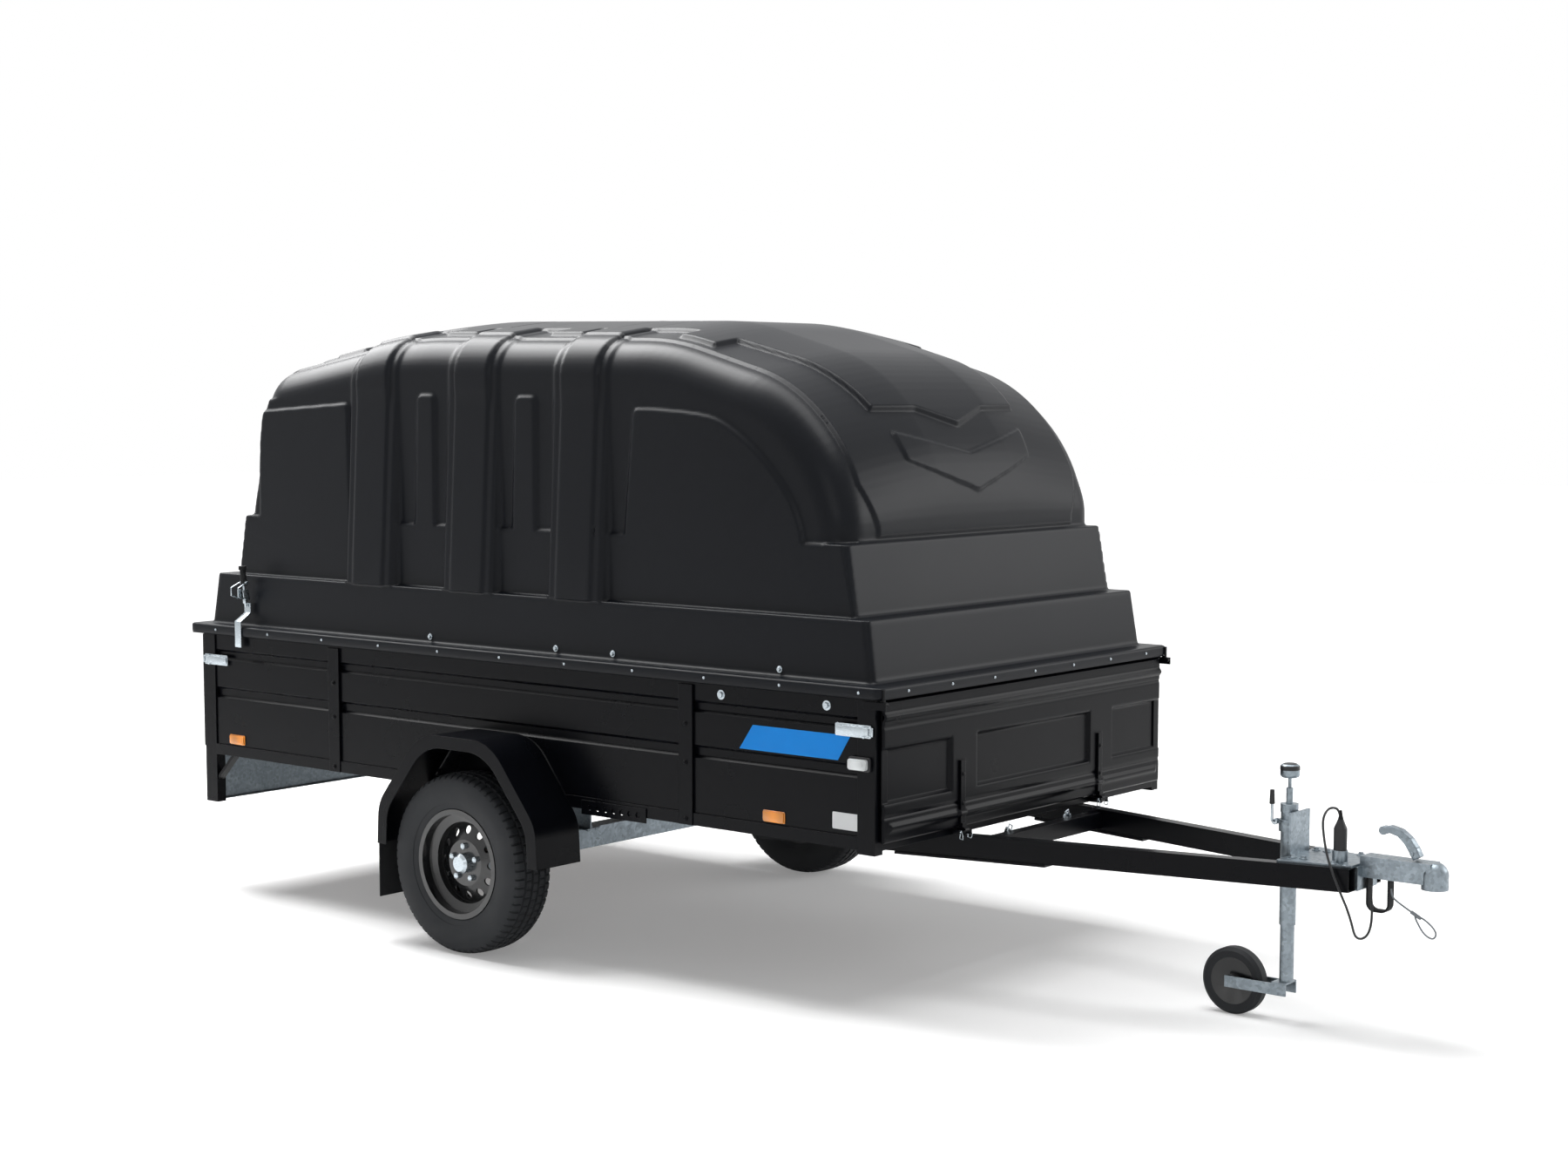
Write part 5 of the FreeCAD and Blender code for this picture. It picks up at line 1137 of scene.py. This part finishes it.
def place_lights(scene):
    """Plain soft boxes, which the camera doesn't see."""
    for name, place, aim, width, height, power in LIGHTS:
        lamp = bpy.data.lights.new(name, "AREA")
        lamp.shape, lamp.size, lamp.size_y, lamp.energy = "RECTANGLE", width, height, power
        box = bpy.data.objects.new(name, lamp)
        where = Vector(place)
        turn = (Vector(aim) - where).to_track_quat("-Z", "Y").to_matrix().to_4x4()
        box.matrix_world = Matrix.Translation(where) @ turn
        box.visible_camera = False
        scene.collection.objects.link(box)


def shows(tree):
    """One for the camera's rays and those through glass, and nearly one for mirrored rays."""
    seen = add(tree, "ShaderNodeLightPath")
    mirrored = add(tree, "ShaderNodeMath", {0: seen.outputs["Is Glossy Ray"], 1: MIRRORED},
                   operation="MULTIPLY")
    both = add(tree, "ShaderNodeMath", {0: seen.outputs["Is Camera Ray"],
                                        1: mirrored.outputs[0]}, operation="MAXIMUM")
    every = add(tree, "ShaderNodeMath", {0: both.outputs[0],
                                         1: seen.outputs["Is Transmission Ray"]},
                operation="MAXIMUM")
    return every.outputs[0]


def lay_floor(scene):
    """A white floor that fades into the backdrop away from the trailer."""
    mesh = bpy.data.meshes.new("floor")
    reach = FLOOR_REACH
    mesh.from_pydata([(-reach, -reach, 0), (reach, -reach, 0), (reach, reach, 0),
                      (-reach, reach, 0)], [], [(0, 1, 2, 3)])
    floor = bpy.data.objects.new("floor", mesh)
    scene.collection.objects.link(floor)
    # matt studio paint: even white that only takes the shadow
    material, tree, main = shader("studio_floor_white", srgb("#f2f2f2"), 0.9, specular=0.1)
    place = add(tree, "ShaderNodeTexCoord").outputs["Object"]
    away = add(tree, "ShaderNodeVectorMath", {0: place}, operation="LENGTH")
    fade = add(tree, "ShaderNodeMapRange", {
        "Value": away.outputs["Value"], "From Min": GLOW_FROM, "From Max": GLOW_TO,
        "To Min": AMBIENT, "To Max": 1.0})
    lit = add(tree, "ShaderNodeMath", {0: shows(tree), 1: fade.outputs["Result"]},
              operation="MULTIPLY")
    glow = add(tree, "ShaderNodeEmission", {"Color": srgb("#ffffff"),
                                            "Strength": lit.outputs[0]})
    total = add(tree, "ShaderNodeAddShader", {0: main.outputs["BSDF"], 1: glow.outputs[0]})
    tree.links.new(total.outputs[0], tree.nodes["Material Output"].inputs["Surface"])
    mesh.materials.append(material)


def make_stage():
    """White floor and backdrop, soft boxes and the camera."""
    scene = bpy.context.scene
    place_camera(scene)
    place_lights(scene)
    lay_floor(scene)
    world = scene.world or bpy.data.worlds.new("studio")
    scene.world = world
    world.use_nodes = True
    tree = world.node_tree
    tree.nodes.clear()
    strength = add(tree, "ShaderNodeMapRange", {"Value": shows(tree), "To Min": AMBIENT,
                                                "To Max": 1.0})
    sky = add(tree, "ShaderNodeBackground", {"Color": srgb("#ffffff"),
                                             "Strength": strength.outputs["Result"]})
    add(tree, "ShaderNodeOutputWorld", {"Surface": sky.outputs["Background"]})
    scene.view_settings.view_transform = "Standard"


# What each CAD node is made of, where it stays in view.
STEEL = ("corner_posts", "middle_posts", "side_panel_right", "side_panel_left", "side_sills",
         "top_rails", "chassis_frame", "rear_braces", "front_gate_panel",
         "front_gate_arms", "front_gate_hinges", "tailgate_panel", "tailgate_hinge_leaves",
         "tailgate_hinges", "lid_hinge_leaves", "lid_hinge_plates", "mudguard_right",
         "mudguard_left", "step_plates", "drawbar_beams", "drawbar_doublers", "drawbar_pivots",
         "drawbar_crossbar")
CAD_FINISH = {
    "lid": ("lid_shell",), "steel": STEEL, "plywood": ("floor_panel",),
    "red": ("tail_lamps",), "amber": ("side_reflectors",), "clear": ("marker_lamps",),
    "tyre": ("wheel_tyre_right", "wheel_tyre_left", "jockey_tyre"),
    "rim": ("wheel_rim_right", "wheel_rim_left", "jockey_rim"),
    "rubber": ("mud_flaps", "towing_loop"), "plastic": ("lighting_plug", "lid_latches"),
    "zinc": ("gate_latches", "toggle_catches", "wheel_hub_right", "wheel_hub_left"),
    "galvanised": ("lamp_panel", "axle_arms", "axle_beam", "axle_brackets", "drawbar_nose_plate",
                   "coupling_body", "coupling_handle", "jockey_mast", "jockey_crank",
                   "jockey_clamp", "jockey_leg", "jockey_fork", "plug_holder"),
}


def finish_cad():
    """Give every CAD node that stays in view its own material."""
    for finish, names in CAD_FINISH.items():
        for name in names:
            mesh = NODES[name].data
            if not mesh.materials:
                mesh.materials.append(None)
            for slot in NODES[name].material_slots:
                slot.material = FINISH[finish]


class TrailerSizes(bpy.types.PropertyGroup):
    """Sizes that may be changed before the pieces are made."""

    voxel: FloatProperty(name="Lid grid", description="Grid size of the lid's sculpted surface",
                         default=0.0065, min=0.005, max=0.02, subtype="DISTANCE", unit="LENGTH")
    relief: FloatProperty(name="Lid relief", description="How far the lid's relief stands out",
                          default=1.0, min=0.0, max=1.2, subtype="FACTOR")
    crown: FloatProperty(name="Roof crown", description="Fall of the roof to its shoulders, mm",
                         default=64.0, min=0.0, max=80.0)
    pitches: IntProperty(name="Tread pitches", description="Pitches of tread round each tyre",
                         default=64, min=30, max=80)


class TrailerColours(bpy.types.PropertyGroup):
    """Colours that may be changed before the pieces are made."""

    lid: FloatVectorProperty(name="Lid", description="Colour of the lid's plastic", size=3,
                             default=srgb("#090c12")[:3], subtype="COLOR", min=0, max=1)
    steel: FloatVectorProperty(name="Body", description="Colour of the powder coat", size=3,
                               default=srgb("#06070b")[:3], subtype="COLOR", min=0, max=1)
    film: FloatVectorProperty(name="Film", description="Colour of the film on the side", size=3,
                              default=srgb("#0a8ae6")[:3], subtype="COLOR", min=0, max=1)


class TRAILER_OT_stage(bpy.types.Operator):
    """Set up the camera, the light and the floor"""

    bl_idname = "trailer.stage"
    bl_label = "Camera, light and floor"

    def execute(self, context):
        make_stage()
        return {"FINISHED"}


class TRAILER_OT_finishes(bpy.types.Operator):
    """Make the materials and give them to the CAD pieces"""

    bl_idname = "trailer.finishes"
    bl_label = "Finishes"

    def execute(self, context):
        make_finishes(context.scene.trailer_colours)
        turned_tree()
        fastener_tree()
        finish_cad()
        return {"FINISHED"}


class TRAILER_OT_lid(bpy.types.Operator):
    """Mould the lid with its plates, pilasters, deck and arrow"""

    bl_idname = "trailer.lid"
    bl_label = "Moulded lid"

    def execute(self, context):
        make_lid(context.scene.trailer_sizes)
        return {"FINISHED"}


class TRAILER_OT_wheels(bpy.types.Operator):
    """Make both tyres with their tread, and the wheel bolts"""

    bl_idname = "trailer.wheels"
    bl_label = "Wheels"

    def execute(self, context):
        make_wheels(context.scene.trailer_sizes)
        return {"FINISHED"}


class TRAILER_OT_front_gate(bpy.types.Operator):
    """Press the front gate with its recesses and ribs"""

    bl_idname = "trailer.front_gate"
    bl_label = "Front gate"

    def execute(self, context):
        make_front_gate()
        return {"FINISHED"}


class TRAILER_OT_cables(bpy.types.Operator):
    """Hang the lighting cable and the breakaway wire"""

    bl_idname = "trailer.cables"
    bl_label = "Cables"

    def execute(self, context):
        make_cables()
        return {"FINISHED"}


class TRAILER_OT_fasteners(bpy.types.Operator):
    """Set the screws, bolts and rivets"""

    bl_idname = "trailer.fasteners"
    bl_label = "Screws, bolts and rivets"

    def execute(self, context):
        make_fasteners()
        return {"FINISHED"}


class TRAILER_OT_labels(bpy.types.Operator):
    """Lay the blank labels and the blue film"""

    bl_idname = "trailer.labels"
    bl_label = "Labels and film"

    def execute(self, context):
        make_labels()
        return {"FINISHED"}


class TRAILER_OT_fittings(bpy.types.Operator):
    """Make the latches, catches, pins and lamps"""

    bl_idname = "trailer.fittings"
    bl_label = "Latches and lamps"

    def execute(self, context):
        make_gate_latches()
        make_lid_latches()
        make_drawbar_catches()
        make_gate_pins()
        make_coupling_handle()
        make_jockey_trim()
        make_lamps()
        return {"FINISHED"}


class TRAILER_PT_panel(bpy.types.Panel):
    """The steps of the trailer, in order"""

    bl_label = "Covered box trailer"
    bl_space_type = "VIEW_3D"
    bl_region_type = "UI"
    bl_category = "Trailer"

    def draw(self, context):
        for group in (context.scene.trailer_sizes, context.scene.trailer_colours):
            for name in group.__annotations__:
                self.layout.prop(group, name)
        for step in STEPS:
            self.layout.operator(step.bl_idname)


STEPS = (TRAILER_OT_stage, TRAILER_OT_finishes, TRAILER_OT_cables, TRAILER_OT_lid,
         TRAILER_OT_wheels, TRAILER_OT_front_gate, TRAILER_OT_fasteners, TRAILER_OT_labels,
         TRAILER_OT_fittings)
CLASSES = (TrailerSizes, TrailerColours, *STEPS, TRAILER_PT_panel)


def register():
    for kind in CLASSES:
        bpy.utils.register_class(kind)
    bpy.types.Scene.trailer_sizes = PointerProperty(type=TrailerSizes)
    bpy.types.Scene.trailer_colours = PointerProperty(type=TrailerColours)


def unregister():
    del bpy.types.Scene.trailer_colours
    del bpy.types.Scene.trailer_sizes
    for kind in reversed(CLASSES):
        bpy.utils.unregister_class(kind)


def write_sizes():
    """Bring the view layer up to date."""
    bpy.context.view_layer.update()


def main():
    register()
    for step in STEPS:
        getattr(bpy.ops.trailer, step.bl_idname.split(".")[1])()
    write_sizes()


if __name__ == "__main__":
    main()
